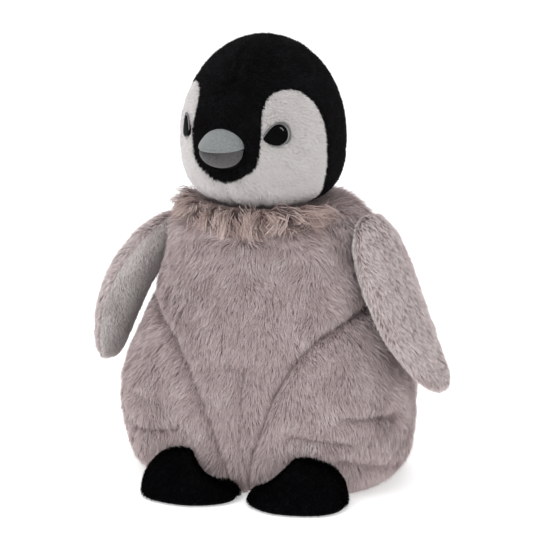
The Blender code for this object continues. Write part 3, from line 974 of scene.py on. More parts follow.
    def make(self) -> list[bpy.types.Object]:
        """Cuts the panels, grows their pile and adds the base, tail and label."""
        made = []
        faces = self.skin.faces
        centre_u = np.angle(np.exp(1j * self.skin.u[faces]).mean(1))
        centre_v = self.skin.v[faces].mean(1)
        fibres = grow(self.skin, LONG_PILE, 11)
        wrapped = np.angle(np.exp(1j * fibres.u))
        for side in Side:
            for panel in BodyPanel:
                name = f"{panel.value}_{side.word}"
                chosen = self.panel_of(panel, side, centre_u, centre_v)
                cloth = panel_shell(f"{name}_cloth", self.skin, chosen, self.cloth, TAUPE_CLOTH)
                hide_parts(name)
                grown = fibres.chosen(self.panel_of(panel, side, wrapped, fibres.v))
                pile = fibre_object(f"{name}_pile", grown, TAUPE_PILE)
                made += [cloth, pile]
        made += [self.base(), *self.tail()]
        for piece in made:
            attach(piece, "torso")
        made.append(self.label())
        return made

    def base(self, columns: int = 96) -> bpy.types.Object:
        """The flat panel that the body stands on."""
        angle = np.arange(columns) / columns * 2 * math.pi - math.pi
        edge = self.outline(np.full(columns, 4 * MM), angle) - 7.4 * MM
        rows = []
        turn_up = ((1, 1.7), (0.985, 1), (0.95, 0.5), (0.8, 0.3), (0.5, 0.3), (0.2, 0.3), (0.01, 0.3))
        for share, lift in turn_up:
            reach, height = edge * share, np.full(columns, lift * MM)
            rows.append(np.stack([reach * np.sin(angle), -reach * np.cos(angle), height], 1))
        outer = np.concatenate(rows)
        inner = outer + [0, 0, 1.4 * MM]
        faces = grid_faces(len(rows), columns, True)
        made = shell("base_panel_cloth", outer, inner, faces[:, ::-1], TAUPE_CLOTH)
        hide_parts("base_panel")
        return made

    def tail(self, columns: int = 40) -> list[bpy.types.Object]:
        """The short tail, low on the back: a stuffed paddle and its fur."""
        low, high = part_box("tail")
        length, half = high.y - low.y, (high.x - low.x) / 2
        angle = np.arange(columns) / columns * 2 * math.pi
        rows, places = [], []
        for share in (-0.5, -0.2, 0.05, 0.25, 0.45, 0.62, 0.78, 0.9, 0.98, 1.02, 1.035):
            close = math.sqrt(max(1 - max(share, 0) ** 2 * 0.75, 0)) * math.sqrt(
                max(1 - (max(share - 0.82, 0) / 0.222) ** 2, 0.003)
            )
            across, thick = half * close * 0.95, 6.4 * MM * close
            rows.append(np.stack([
                across * np.cos(angle),
                np.full(columns, low.y + length * share),
                high.z - 7 * MM - 10 * MM * max(share, 0) + thick * np.sin(angle),
            ], 1))
            places.append(np.full(columns, share))
        points = np.concatenate(rows)
        flow = np.tile([0.0, 0.9, -0.45], (len(points), 1)) + points * [6.0, 0, 0]
        skin = Skin(points, grid_faces(len(rows), columns, True)[:, ::-1], np.tile(angle, len(rows)),
                    np.concatenate(places), flow, np.zeros(len(points)))
        skin.density = ramp(skin.v, -0.1, 0.1)
        skin.length = np.full(len(points), 0.85)
        cloth = panel_shell("tail_cloth", skin, np.ones(len(skin.faces), bool), 1.2 * MM, TAUPE_CLOTH)
        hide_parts("tail")
        return [cloth, fibre_object("tail_pile", grow(skin, LONG_PILE, 31), TAUPE_PILE)]

    def label(self, across: int = 12, down: int = 9) -> bpy.types.Object:
        """The blank tape label in the seam at the side of the back, bent a little by the fur."""
        low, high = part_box("care_label")
        centre = (np.array(low) + np.array(high)) / 2
        out = unit(np.array([centre[0], centre[1], 0.0]))
        aside = np.array([-out[1], out[0], 0.0])
        width, tall = self.label_size
        grid = np.meshgrid(np.linspace(-0.5, 0.5, down + 1), np.linspace(-0.5, 0.5, across + 1), indexing="ij")
        rise, reach = (share.reshape(-1, 1) for share in grid)
        bend = 0.8 * MM * np.sin(reach * 3) + 0.3 * MM * np.cos(rise * 5)
        points = centre + out * width * reach + aside * bend + rise * [0, 0, tall]
        faces = grid_faces(down + 1, across + 1, False)[:, ::-1]
        made = shell("care_label_tape", points + aside * 0.15 * MM, points - aside * 0.15 * MM, faces, TAPE)
        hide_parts("care_label")
        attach(made, "torso")
        return made


# ---------------------------------------------------------------- head


@dataclass
class Head:
    """The head: black and white plush panels, a felt beak and embroidered eyes."""

    radii: tuple[float, float, float] = (53 * MM, 54 * MM, 65 * MM)
    drop: float = 45 * MM
    drop_power: float = 3.2
    cheek_inner: Table = (
        (-21.0, 0), (-20.6, 3.5), (-19.3, 8), (-17, 12), (-13.5, 17), (-10.5, 21), (-6, 24.5), (0, 26.8),
        (8, 27.8), (15, 28.2), (21, 28.8), (26, 30.5), (30, 33.5), (32.5, 38), (34, 44),
    )
    cheek_outer: Table = (
        (-84, 90), (-50, 87), (-19, 79), (0, 77.5), (7, 76.5), (14, 75), (21, 72), (27, 67.5), (30, 63.5),
        (32.5, 59.5), (34, 54),
    )
    cheek_top: float = 34.3
    relief: Table = ((72, 1, 2.2, 14, 26), (25, 5, 1.9, 7.5, 15), (51, 8, -1.6, 9, 10))
    creases: tuple[Crease, ...] = (
        (((0, -30), (0, -80)), 1.1, 2.0),
        (((33, -22), (33, -80)), 0.8, 2.0),
        (((-33, -22), (-33, -80)), 0.8, 2.0),
        (((0, 40), (0, 88)), 0.9, 1.8),
    )
    eye_outline: Table = (
        (-10.6, -2.0), (-7.0, 2.6), (-2.4, 5.9), (2.6, 7.0), (7.2, 5.2), (9.6, 1.2), (8.8, -3.0), (5.2, -5.8),
        (0.4, -6.9), (-4.6, -6.2), (-8.5, -4.4),
    )
    eye_centre: tuple[float, float] = (39.6, 7.6)
    eye_threads: tuple[tuple[str, float, float, float, float], ...] = (
        ("inner", 0.92, 0.0, 0.90, 0.36), ("outer", 1.0, 0.03, 0.66, 0.34),
    )
    thread_height: float = 1.9 * MM
    highlight_height: float = 2.7 * MM
    # The lower half takes the grey felt with painted shade in it.
    beak_halves: tuple[tuple[str, float, float, float, float, ClothFinish], ...] = (
        ("beak_upper", 1.0, 15.8, 11.8, 18.0, FELT), ("beak_lower", -1.0, 15.2, 12.8, 17.0, FELT_PAINTED_SHADE),
    )
    mouth: float = -0.8 * MM
    cloth_margin: float = 1.0
    cloth: float = 1.2 * MM
    skin: Skin = field(init=False)

    def __post_init__(self) -> None:
        """Takes the head's place and rest turn from the model."""
        nod = next(j for j in frame["joints"] if j["name"] == "head_nod")
        self.turn = math.atan2(nod["axis"][1], nod["axis"][0])
        low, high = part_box("head_stuffing")
        top = max(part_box(f"forehead_panel_{side.word}")[1].z for side in Side)
        self.centre = np.array([(low.x + high.x) / 2, (low.y + high.y) / 2, top - self.radii[2]])

    def surface(self, angle: np.ndarray, row: np.ndarray, height: float | np.ndarray = 0.0) -> np.ndarray:
        """Points over the head, before it is turned and put in place.

        Args:
            angle: angles from the beak, in radians.
            row: latitudes, in radians.
            height: how far above the surface.

        Returns:
            The points, about the head's own middle.
        """
        power = 2 / self.drop_power
        up = row > 0
        off, lat = np.abs(np.degrees(np.angle(np.exp(1j * angle)))), np.degrees(row)
        for middle, row_middle, rise, wide, tall in self.relief:
            away = ((off - middle) / wide) ** 2 + ((lat - row_middle) / tall) ** 2
            height = height + rise * MM * np.exp(-away)
        flat = np.where(up, np.cos(row), np.cos(row) ** power)
        sink = np.abs(np.sin(row))
        high = np.where(up, (self.radii[2] + height) * sink, -(self.drop + height) * sink**power)
        wide, deep = self.radii[0] + height, self.radii[1] + height
        return np.stack([wide * flat * np.sin(angle), -deep * flat * np.cos(angle), high], -1)

    def placed(self, points: np.ndarray) -> np.ndarray:
        """Points about the head's middle, put where the head is."""
        return turn_z(points, self.turn) + self.centre

    def panel_of(
        self, panel: HeadPanel, side: Side, angle: np.ndarray, row: np.ndarray, margin: float = 0.0
    ) -> np.ndarray:
        """Whether each place on the head belongs to a panel.

        Args:
            panel: the panel.
            side: its side.
            angle: angles from the beak, in radians.
            row: latitudes, in radians.
            margin: how far inside its seams the cheek stops, in degrees.

        Returns:
            True where the place is on the panel.
        """
        off, lat = np.abs(np.degrees(angle)), np.degrees(row)
        inner = smooth_table(self.cheek_inner, lat) + margin
        outer = smooth_table(self.cheek_outer, lat) - margin
        cheek = (off > inner) & (off <= outer) & (lat < self.cheek_top)
        own = np.sign(angle + 1e-9) == side.value
        if panel is HeadPanel.CHEEK:
            return own & cheek
        middle = np.where(lat < self.cheek_top, (inner + outer) / 2, 40.0)
        front = (off <= middle) & (lat > -38.5)
        if panel is HeadPanel.FOREHEAD:
            return own & ~cheek & front
        return own & ~cheek & ~front

    def build(self, columns: int = 120, rows: int = 62) -> None:
        """Makes the head's skin.

        Args:
            columns: points round the head.
            rows: points from the bottom to the top.
        """
        angle = (np.arange(columns) / columns * 2 - 1) * math.pi + math.pi / columns
        share = np.linspace(-1, 1, rows)
        lat = np.where(share > 0, 88.5 * share, -88 * np.abs(share) ** 1.5)
        a, r = np.meshgrid(angle, np.radians(lat))
        points = self.surface(a.ravel(), r.ravel(), -0.6 * MM)
        flow = np.tile([0.0, 0.55, -0.35], (len(points), 1)) + points * [8, 0, -4]
        off, lats = np.abs(np.degrees(a.ravel())), np.degrees(r.ravel())
        inner, outer = smooth_table(self.cheek_inner, lats), smooth_table(self.cheek_outer, lats)
        gap = np.minimum(np.abs(off - inner), np.abs(off - outer))
        gap = np.where(lats < self.cheek_top, gap, 99)
        held = np.maximum(ramp(-gap, -6, -2), ramp(-lats, 55, 70))
        held = np.maximum(held, ramp(-np.hypot(off, lats - 2), -26, -20))
        self.gap = gap
        points, flow = self.placed(points), turn_z(flow, self.turn)
        self.skin = Skin(points, grid_faces(rows, columns, True), a.ravel(), r.ravel(), flow, held)

    def dress(self) -> None:
        """Presses the seams in, sets how the pile grows round the beak, eyes and seams and paints shade into
        the fibres in the dents.
        """
        skin = self.skin
        degrees, lats = np.degrees(skin.u), np.degrees(skin.v)
        scale = math.radians(1) * self.radii[0] / MM
        pattern = np.stack([degrees * scale * np.cos(skin.v), lats * scale], 1)
        depth = 0.7 * np.exp(-((self.gap * scale / 2.2) ** 2))
        for points, deep, wide in self.creases:
            line = np.array([[a * scale * math.cos(math.radians(b)), b * scale] for a, b in points])
            depth = np.maximum(depth, deep * np.exp(-((line_distance(pattern, line) / wide) ** 2)))
        skin.dent(depth * MM)
        skin.length = 1 - 0.3 * np.exp(-((self.gap * scale / 2.0) ** 2))
        # Painted shade: fibres are darkened by how deep their seam or crease is pressed in.
        skin.tone = -0.25 * depth

    def clear(self, fibres: Fibres) -> Fibres:
        """Leaves out the fibres under the beak and under the eyes' stitching."""
        angle, lat = np.degrees(np.angle(np.exp(1j * fibres.u))), np.degrees(fibres.v)
        beak = ((angle / 15.4) ** 2 + ((lat - 0.5) / 10.5) ** 2) < 1
        off = np.stack([np.abs(angle) - self.eye_centre[0], lat - self.eye_centre[1]], 1)
        ring = self.eye_curve(96)
        heading = np.arctan2(off[:, 1], off[:, 0])
        order = np.argsort(np.arctan2(ring[:, 1], ring[:, 0]))
        reach = np.interp(
            heading, np.arctan2(ring[order, 1], ring[order, 0]), np.linalg.norm(ring[order], axis=1),
            period=2 * math.pi,
        )
        return fibres.chosen(~beak & (np.linalg.norm(off, axis=1) > reach * 0.97))

    def eye_curve(self, count: int) -> np.ndarray:
        """The teardrop round an eye, in degrees about its middle, drawn to a point towards the beak."""
        corners = np.array(self.eye_outline)
        places = []
        for k in range(len(corners)):
            p0, p1, p2, p3 = (corners[(k + i) % len(corners)] for i in (-1, 0, 1, 2))
            for t in np.linspace(0, 1, 24, endpoint=False):
                soft = 0.5 * (
                    2 * p1 + (p2 - p0) * t + (2 * p0 - 5 * p1 + 4 * p2 - p3) * t**2
                    + (3 * p1 - p0 - 3 * p2 + p3) * t**3
                )
                places.append(soft)
        closed = np.array(places + places[:1])
        run = np.concatenate([[0], np.cumsum(np.linalg.norm(np.diff(closed, axis=0), axis=1))])
        even = np.linspace(0, run[-1], count, endpoint=False)
        return np.stack([np.interp(even, run, closed[:, k]) for k in range(2)], 1)

    def make(self) -> list[bpy.types.Object]:
        """Cuts the panels, grows their pile and adds the beak and eyes."""
        made = []
        faces = self.skin.faces
        centre_u = np.angle(np.exp(1j * self.skin.u[faces]).mean(1))
        centre_v = self.skin.v[faces].mean(1)
        fibres = self.clear(grow(self.skin, SHORT_PILE, 51))
        wrapped = np.angle(np.exp(1j * fibres.u))
        for side in Side:
            for panel in HeadPanel:
                name = f"{panel.value}_{side.word}"
                white = panel is HeadPanel.CHEEK
                chosen = self.panel_of(panel, side, centre_u, centre_v, self.cloth_margin)
                backing = WHITE_CLOTH if white else BLACK_CLOTH
                cloth = panel_shell(f"{name}_cloth", self.skin, chosen, self.cloth, backing)
                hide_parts(name)
                grown = fibres.chosen(self.panel_of(panel, side, wrapped, fibres.v))
                pile = fibre_object(f"{name}_pile", grown, WHITE_PILE if white else BLACK_PILE)
                made += [cloth, pile]
        made += self.beak()
        for side in Side:
            made += self.eye(side)
        for piece in made:
            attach(piece, "head")
        return made

    def beak(self, across: int = 45, up: int = 26) -> list[bpy.types.Object]:
        """The two felt halves of the beak, closed along the mouth."""
        made = []
        grid_a, grid_t = np.meshgrid(np.linspace(-1, 1, across), np.linspace(0, 1, up))
        for name, way, half, tall, reach, finish in self.beak_halves:
            if way > 0:
                wide = half * (1 - grid_t**2.1) ** 0.58
                crown = 0.80 + 0.20 * np.sin(np.pi * np.minimum(grid_t * 2.2, 1))
                swell = (1 - grid_t**1.7) ** 0.75 * crown
            else:
                wide = half * np.sqrt(np.maximum(1 - grid_t**2.2, 0))
                swell = np.maximum(1 - grid_t**2.0, 0) ** 0.6 * (0.86 + 0.14 * ramp(grid_t, 0, 0.25))
            dome = np.maximum(1 - np.abs(grid_a) ** 2.2, 0) ** 0.62
            x = grid_a * wide * MM
            z = self.mouth + way * (grid_t * tall + 0.35) * MM
            above = np.arcsin(np.clip(z / self.radii[2], -1, 1))
            lat = np.where(z > 0, above, -np.arcsin((np.abs(z) / self.drop) ** (self.drop_power / 2)))
            flat = np.where(z > 0, np.cos(lat), np.cos(lat) ** (2 / self.drop_power))
            face = -self.radii[1] * np.sqrt(np.maximum(flat**2 - (x / self.radii[0]) ** 2, 0.01))
            lift = 1.0 + reach * swell * dome
            outer = np.stack([x, face - lift * MM, z], -1)
            outer[..., 2] -= 0.10 * reach * MM * swell * dome * max(way, 0)
            low = self.mouth + (z - self.mouth) * 0.9 + way * 0.2 * MM
            inner = np.stack([x * 0.9, face + 1.2 * MM, low], -1)
            grid = grid_faces(up, across, False)
            grid = grid if way > 0 else grid[:, ::-1]
            sheets = (self.placed(sheet.reshape(-1, 3)) for sheet in (outer, inner))
            piece = shell(f"{name}_felt", *sheets, grid, finish)
            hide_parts(name)
            made.append(piece)
        return made

    def on_face(self, places: np.ndarray, height: float | np.ndarray, side: Side) -> np.ndarray:
        """Points above the face from angles in degrees about an eye's middle."""
        angle = np.radians(places[:, 0] + self.eye_centre[0]) * side.value
        return self.placed(self.surface(angle, np.radians(places[:, 1] + self.eye_centre[1]), height))

    def eye(self, side: Side, count: int = 96, rings: int = 12) -> list[bpy.types.Object]:
        """One embroidered eye: a black satin pad, grey outline threads and a small highlight."""
        name = f"eye_{side.word}"
        curve = self.eye_curve(count)
        shares = np.concatenate([[0.02], np.linspace(0.12, 1, rings)])
        outer, inner = [], []
        for share in shares:
            ring = curve * share * 0.86 + np.array([-0.5, -0.2])
            rise = 1.6 + 1.0 * math.sqrt(max(1 - share**3, 0))
            outer.append(self.on_face(ring, rise * MM, side))
            inner.append(self.on_face(ring, 0.2 * MM, side))
        grid = grid_faces(len(shares), count, True)
        grid = grid if side is Side.RIGHT else grid[:, ::-1]
        pad = shell(f"{name}_pad", np.concatenate(outer), np.concatenate(inner), grid[:, ::-1], BLACK_THREAD)
        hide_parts(name)
        made = [pad]
        for label, scale, first, last, thick in self.eye_threads:
            places = curve[int(first * count) : int(last * count) + 1] * scale
            made.append(
                self.thread(f"{name}_outline_{label}", places, self.thread_height, thick * MM, side)
            )
        bow = np.linspace(0.15, 1.1, 14)
        arc = np.stack([0.9 + 3.6 * np.sin(bow), 0.5 + 3.5 * np.cos(bow)], 1)
        made.append(self.thread(f"{name}_highlight", arc, self.highlight_height, 0.36 * MM, side))
        return made

    def thread(
        self, name: str, places: np.ndarray, height: float, thick: float, side: Side, around: int = 8
    ) -> bpy.types.Object:
        """A raised line of embroidery over the face, round in section with closed ends.

        Args:
            name: the piece's name.
            places: angles in degrees about the eye's middle.
            height: how far above the face.
            thick: the thread's half thickness.
            side: which eye.
            around: points round the thread.

        Returns:
            The new object.
        """
        path = self.on_face(places, height, side)
        out = unit(path - self.centre)
        along = unit(np.gradient(path, axis=0))
        across = unit(np.cross(along, out))
        ends = np.minimum(np.arange(len(path)), np.arange(len(path))[::-1])
        swell = np.clip(0.35 + ends * 0.3, 0, 1) * thick
        rows = []
        for k in range(around):
            turn = 2 * math.pi * k / around
            rows.append(path + (across * math.cos(turn) + out * math.sin(turn)) * swell[:, None])
        points = np.stack(rows, 1).reshape(-1, 3)
        return roll(name, points, grid_faces(len(path), around, True)[:, ::-1], around, GREY_THREAD)


# ---------------------------------------------------------------- neck, flippers and feet


@dataclass
class Ruff:
    """The long-pile collar under the face, on the neck."""

    radius: float = 42 * MM
    width: float = 11 * MM
    half_height: float = 4.2 * MM
    reach: float = math.radians(81)

    def make(self, head: Head, columns: int = 60, around: int = 16) -> list[bpy.types.Object]:
        """Makes the collar's roll of cloth and its long tufts.

        Args:
            head: the head that it goes under.
            columns: rings along the arc.
            around: points round the roll.

        Returns:
            The collar's pieces.
        """
        low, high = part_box("neck_ruff")
        middle = (low.z + high.z) / 2
        turns = np.linspace(-1, 1, columns)
        roll = np.arange(around) / around * 2 * math.pi
        t, r = (g.ravel() for g in np.meshgrid(turns, roll, indexing="ij"))
        end = np.sqrt(np.maximum(1 - (np.maximum(np.abs(t) - 0.93, 0) / 0.0702) ** 2, 0.002))
        bearing = head.turn + self.reach * t
        out = self.radius + self.width / 2 * np.cos(r) * end
        rise = middle + self.half_height * np.sin(r) * end
        points = np.stack([out * np.sin(bearing), head.centre[1] - out * np.cos(bearing), rise], 1)
        radial = np.stack([np.sin(bearing), -np.cos(bearing), np.zeros(len(t))], 1)
        end_on = ramp(np.abs(t[:, None]), 0.35, 0.78)
        flow = radial * (0.55 + 1.1 * end_on) + np.array([0, 0, -1.0]) * (1 - 0.9 * end_on)
        flow += np.cross([0, 0, 1.0], radial) * (0.35 * t)[:, None]
        skin = Skin(points, grid_faces(columns, around, True)[:, ::-1], t, r, flow, np.zeros(len(points)))
        front = np.exp(-((t / 0.45) ** 2))
        skin.length = 0.9 + 0.25 * front + 0.35 * end_on[:, 0]
        skin.density = ramp(np.cos(r), -0.4, 0.1) * ramp(-np.sin(r), -0.95, -0.5)
        cloth = panel_shell("neck_ruff_cloth", skin, np.ones(len(skin.faces), bool), 1.0 * MM, RUFF_CLOTH)
        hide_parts("neck_ruff")
        tufts = fibre_object("neck_ruff_tufts", grow(skin, RUFF_TUFTS, 71), RUFF_PILE)
        for piece in (cloth, tufts):
            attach(piece, "neck")
        return [cloth, tufts]


@dataclass
class Flipper:
    """One flipper: long fur outside, short pale plush inside, tilted on its hinge at the shoulder."""

    side: Side
    lean: float
    flick: float
    length: float
    bow: float
    toe_in: float
    profile: Table = (
        (0.00, 16, 5.0), (0.12, 25, 8.5), (0.35, 29, 9.5), (0.60, 27.5, 8.5), (0.82, 22, 6.5),
        (1.00, 13, 4.5),
    )
    edge: float = -0.12
    bend_above: float = 6 * MM
    bend_below: float = 24 * MM
    cloth: float = 1.2 * MM
    filling_inset: float = 2.2 * MM
    columns: int = 48
    skin: Skin = field(init=False)

    def __post_init__(self) -> None:
        """Takes the hinge's place from the model."""
        joint = next(j for j in frame["joints"] if j["name"] == f"flipper_{self.side.word}_flap")
        self.pivot = np.array(joint["pos_m"])

    def placed(self, local: np.ndarray) -> np.ndarray:
        """Points of the flipper's own frame, turned and put on its hinge."""
        sign = self.side.value
        points = turn_z(local * [sign, 1, 1], -sign * self.toe_in)
        c, s = math.cos(-sign * self.lean), math.sin(-sign * self.lean)
        points = points @ np.array([[c, 0, -s], [0, 1, 0], [s, 0, c]])
        return points + self.pivot

    def build(self, rows: int = 40) -> None:
        """Makes the flipper's skin.

        Args:
            rows: rings along it.
        """
        columns = self.columns
        share = np.linspace(-0.05, 1.035, rows)
        turn = np.arange(columns) / columns * 2 * math.pi
        s, t = (g.ravel() for g in np.meshgrid(share, turn, indexing="ij"))
        close = np.sqrt(np.maximum(1 - (np.maximum(s - 0.955, 0) / 0.081) ** 2, 0.004))
        close *= np.sqrt(np.maximum(1 - (np.maximum(0.03 - s, 0) / 0.081) ** 2, 0.004))
        wide = smooth_table(tuple((r[0], r[1]) for r in self.profile), s) * MM * close
        thick = smooth_table(tuple((r[0], r[2]) for r in self.profile), s) * MM * close
        curve = self.bow * np.sin(math.pi * np.clip(s, 0, 1)) + self.flick * np.clip(s, 0, 1.04) ** 3
        local = np.stack([np.sin(t) * thick + curve, np.cos(t) * wide, -self.length * s], 1)
        down = np.stack([np.gradient(curve.reshape(rows, columns), axis=0).ravel() * 0.3,
                         np.cos(t) * 0.12, -np.ones(len(s))], 1)
        points = self.placed(local)
        flow = self.placed(down) - self.placed(np.zeros(3))
        faces = grid_faces(rows, columns, True)
        if self.side is Side.RIGHT:
            faces = faces[:, ::-1]
        held = np.maximum(ramp(-s, -0.12, -0.05), 0.85 * ramp(-np.abs(np.sin(t)), -0.3, -0.1))
        self.skin = Skin(points, faces, t, s, flow, held)

    def make(self) -> list[bpy.types.Object]:
        """Cuts the outer and inner panels, grows their pile and adds the filling."""
        word = self.side.word
        skin = self.skin
        outside = np.sin(skin.u[skin.faces]).mean(1) > self.edge
        skin.length = 1 - 0.25 * ramp(skin.v, 0.9, 1.0)
        # Painted light: all flipper fibres, outside and lining, are pushed to the pale end of their finish to
        # stand for the light falling on the flippers.
        skin.tone = np.full(len(skin.points), 0.55)
        long_fibres = grow(skin, FLIPPER_PILE, 91 + self.side.value)
        short_fibres = grow(skin, SHORT_PILE, 95 + self.side.value)
        long_side, short_side = (np.sin(f.u) > self.edge for f in (long_fibres, short_fibres))
        parts = (
            ("outer", outside, long_fibres.chosen(long_side), TAUPE_CLOTH, TAUPE_PILE, "taupe_fur"),
            ("inner", ~outside, short_fibres.chosen(~short_side), LINING_CLOTH, LINING_PILE,
             "flipper_lining"),
        )
        filling = self.filling()
        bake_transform(filling)
        made = [filling]
        for label, faces, fibres, cloth_finish, pile_finish, slot_name in parts:
            cloth = panel_shell(f"flipper_{word}_{label}_cloth", skin, faces, self.cloth, cloth_finish)
            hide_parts(f"flipper_{word}_{label}")
            pile = fibre_object(f"flipper_{word}_{label}_pile", fibres, pile_finish)
            for piece in (cloth, pile):
                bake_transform(piece)
                made.append(piece)
        return made

    def filling(self) -> bpy.types.Object:
        """The wadding inside, a little smaller than the skin and closed at both ends."""
        points = self.skin.points - self.skin.normals() * self.filling_inset
        made = roll(f"flipper_{self.side.word}_filling", points, self.skin.faces, self.columns, WADDING)
        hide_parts(f"flipper_{self.side.word}_stuffing")
        return made


@dataclass
class Foot:
    """One foot: black plush over a stuffed half dome, with a flat sole."""

    side: Side
    half_width: float = 33 * MM
    length: float = 28 * MM
    height: float = 33 * MM
    splay: float = math.radians(8)
    taper: float = 0.6
    squareness: float = 0.8
    sole: float = 2.5 * MM
    cloth: float = 1.2 * MM
    skin: Skin = field(init=False)

    def __post_init__(self) -> None:
        """Takes the ankle's place from the model."""
        joint = next(j for j in frame["joints"] if j["name"] == f"foot_{self.side.word}_lift")
        self.ankle = np.array([joint["pos_m"][0], joint["pos_m"][1], 0.0])

    def placed(self, local: np.ndarray) -> np.ndarray:
        """Points of the foot's own frame, splayed and put under its ankle."""
        sign = self.side.value
        return turn_z(local * [sign, 1, 1], sign * self.splay) + self.ankle

    def plan(self, wide: np.ndarray, deep: np.ndarray, angle: np.ndarray) -> tuple[np.ndarray, np.ndarray]:
        """The foot's outline seen from above, with squared corners: places across and ahead."""
        c, s = (np.sign(k) * np.abs(k) ** self.squareness for k in (np.cos(angle), np.sin(angle)))
        return wide * c, -deep * s

    def build(self, columns: int = 56, rows: int = 22) -> None:
        """Makes the foot's skin.

        Args:
            columns: points round it.
            rows: rings from the sole to the top.
        """
        angle = np.linspace(-0.42, math.pi + 0.42, columns)
        rise = np.radians(np.linspace(0, 88, rows))
        r, a = (g.ravel() for g in np.meshgrid(rise, angle, indexing="ij"))
        inward = np.maximum(-np.cos(a), 0) ** 1.5
        wide = (self.half_width - 1.0 * MM) * np.cos(r) ** 0.85
        deep = (self.length * (1 - 0.25 * inward) - 0.8 * MM) * np.cos(r) ** 0.85
        tall = (self.height - self.sole) * (1 - self.taper * inward) - 1.0 * MM
        local = np.stack([*self.plan(wide, deep, a), self.sole + tall * np.sin(r)], 1)
        flow = np.stack([np.cos(a) * 0.5, -0.8 * np.ones(len(a)), -0.6 * np.ones(len(a))], 1)
        points, lie = self.placed(local), self.placed(flow) - self.placed(np.zeros(3))
        faces = grid_faces(rows, columns, False)
        if self.side is Side.LEFT:
            faces = faces[:, ::-1]
        held = np.maximum(ramp(-r, -0.3, -0.1), ramp(-np.sin(a), -0.05, 0.2))
        self.skin = Skin(points, faces, a, r, lie, held)

    def make(self) -> list[bpy.types.Object]:
        """Makes the foot's upper, its pile and its sole."""
        word = self.side.word
        skin = self.skin
        whole = np.ones(len(skin.faces), bool)
        upper = panel_shell(f"foot_{word}_upper_cloth", skin, whole, self.cloth, BLACK_CLOTH)
        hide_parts(f"foot_{word}_upper")
        pile = fibre_object(f"foot_{word}_pile", grow(skin, SHORT_PILE, 111 + self.side.value), FOOT_PILE)
        made = [upper, pile, self.sole_piece()]
        for piece in made:
            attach(piece, f"foot_{word}")
        return made

    def sole_piece(self, columns: int = 48) -> bpy.types.Object:
        """The flat sole under the foot."""
        angle = np.linspace(0, math.pi, columns)
        inward = np.maximum(-np.cos(angle), 0) ** 1.5
        rows = []
        for share, lift in ((1, 1.6), (0.98, 0.8), (0.93, 0.4), (0.6, 0.35), (0.25, 0.35), (0.02, 0.35)):
            wide = (self.half_width - 1.2 * MM) * share
            deep = (self.length * (1 - 0.25 * inward) - 1.0 * MM) * share
            across, ahead = self.plan(wide, deep, angle)
            rows.append(np.stack([across, ahead - 0.4 * MM, np.full(columns, lift * MM)], 1))
        outer = self.placed(np.concatenate(rows))
        faces = grid_faces(len(rows), columns, False)
        faces = faces if self.side is Side.LEFT else faces[:, ::-1]
        made = shell(f"foot_{self.side.word}_sole_cloth", outer, outer + [0, 0, 1.0 * MM], faces, BLACK_CLOTH)
        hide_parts(f"foot_{self.side.word}_sole")
        return made


# ---------------------------------------------------------------- inside pieces and studio


def dress_inside() -> None:
    """Puts wadding and bag cloth on the pieces inside that the model already has."""
    for name, node in frame["nodes"].items():
        if node.hide_render:
            continue
        finish = PELLET_CLOTH if name == "pellet_bag" else WADDING
        node.data.materials.clear()
        node.data.materials.append(finish.material())
        LOG.info("%s keeps its shape, with %s", name, finish.name)


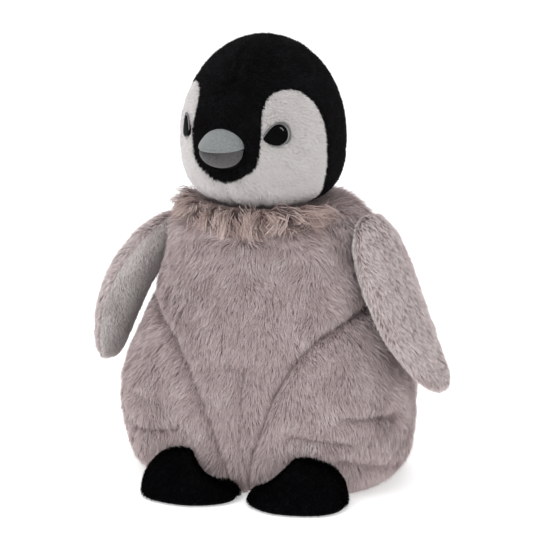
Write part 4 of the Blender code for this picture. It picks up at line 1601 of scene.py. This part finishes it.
@dataclass
class Studio:
    """A plain pale floor, soft light from above and in front, and the camera."""

    azimuth: float = 18.0
    elevation: float = 13.0
    distance: float = 2.0
    sideways: float = -0.004
    aim_height: float = 0.1407
    sensor: float = 36.0
    view_width: float = 0.358176
    ambient: float = 0.66
    floor_glow: float = 0.42
    lamps: tuple[tuple[str, tuple[float, float, float], float, float], ...] = (
        ("key", (-0.55, -1.15, 1.75), 1.5, 17.0),
        ("fill", (1.5, -1.0, 0.9), 1.3, 3.5),
        ("top", (0.25, 0.35, 1.9), 1.2, 9.0),
    )

    def make(self) -> None:
        """Builds the floor, the world, the lights and the camera."""
        self.floor()
        self.world()
        for name, place, size, power in self.lamps:
            light = bpy.data.lights.new(name, "AREA")
            light.shape, light.size, light.energy = "DISK", size, power
            made = bpy.data.objects.new(name, light)
            made.location = place
            made.rotation_euler = (Vector((0, 0, 0.15)) - Vector(place)).to_track_quat("-Z", "Y").to_euler()
            bpy.context.scene.collection.objects.link(made)
        self.camera()

    def floor(self) -> None:
        """The floor, wide enough to meet the white surround softly."""
        mesh = bpy.data.meshes.new("floor")
        corners = [(x, y, 0) for x, y in ((-9, -9), (9, -9), (9, 9), (-9, 9))]
        mesh.from_pydata(corners, [], [(0, 1, 2, 3)])
        grey = {"Dark": rgba((0.93, 0.93, 0.93)), "Light": rgba((0.96, 0.96, 0.96)), "Scale": 20.0}
        surface = {
            "Roughness": 0.9, "Specular IOR Level": 0.1, "Emission Color": rgba((1, 1, 1)),
            "Emission Strength": self.floor_glow,
        }
        mesh.materials.append(shaded_material("pale_floor", CLOTH_GRAIN, grey, surface))
        floor = bpy.data.objects.new("floor", mesh)
        bpy.context.scene.collection.objects.link(floor)

    def world(self) -> None:
        """A white surround that lights the penguin softly from all round."""
        world = bpy.data.worlds.new("surround")
        bpy.context.scene.world = world
        world.use_nodes = True
        w = NodeWriter(world.node_tree)
        seen = w.node("LightPath").outputs["Is Camera Ray"]
        strength = w.math("ADD", w.math("MULTIPLY", seen, 1.0 - self.ambient), self.ambient)
        back = world.node_tree.nodes["Background"]
        back.inputs["Color"].default_value = (1, 1, 1, 1)
        world.node_tree.links.new(strength, back.inputs["Strength"])
        bpy.context.scene.view_settings.view_transform = "Standard"

    def camera(self) -> None:
        """The camera, a little above the penguin and to its left."""
        az, el = math.radians(self.azimuth), math.radians(self.elevation)
        right = Vector((math.cos(az), math.sin(az), 0))
        back = Vector((math.sin(az) * math.cos(el), -math.cos(az) * math.cos(el), math.sin(el)))
        data = bpy.data.cameras.new("camera")
        data.sensor_width, data.lens = self.sensor, self.sensor * self.distance / self.view_width
        data.clip_start, data.clip_end = 0.05, 50
        made = bpy.data.objects.new("camera", data)
        made.location = right * self.sideways + Vector((0, 0, self.aim_height)) + back * self.distance
        made.rotation_euler = (math.pi / 2 - el, 0, az)
        bpy.context.scene.collection.objects.link(made)
        bpy.context.scene.camera = made


def main() -> None:
    """Builds the penguin piece by piece."""
    logging.basicConfig(level=logging.INFO, format="%(name)s: %(message)s")
    torso, head, ruff = Torso(), Head(), Ruff()
    flippers = [
        Flipper(Side.LEFT, math.radians(17), 18 * MM, 113 * MM, 1.5 * MM, math.radians(11)),
        Flipper(Side.RIGHT, math.radians(28), -5 * MM, 104 * MM, 7 * MM, math.radians(-9)),
    ]
    feet = [Foot(side) for side in Side]
    for part in (torso, head, *flippers, *feet):
        part.build()
    inflate([torso.skin, head.skin, *(f.skin for f in flippers), *(f.skin for f in feet)],
            STUFFING_PRESSURE, STUFFING_REACH)
    torso.dress()
    head.dress()
    made = torso.make() + head.make() + ruff.make(head)
    for part in (*flippers, *feet):
        made += part.make()
    for piece in made:
        LOG.info("%s: %d points", piece.name, len(piece.data.vertices))
    dress_inside()
    Studio().make()


if __name__ == "__main__":
    main()
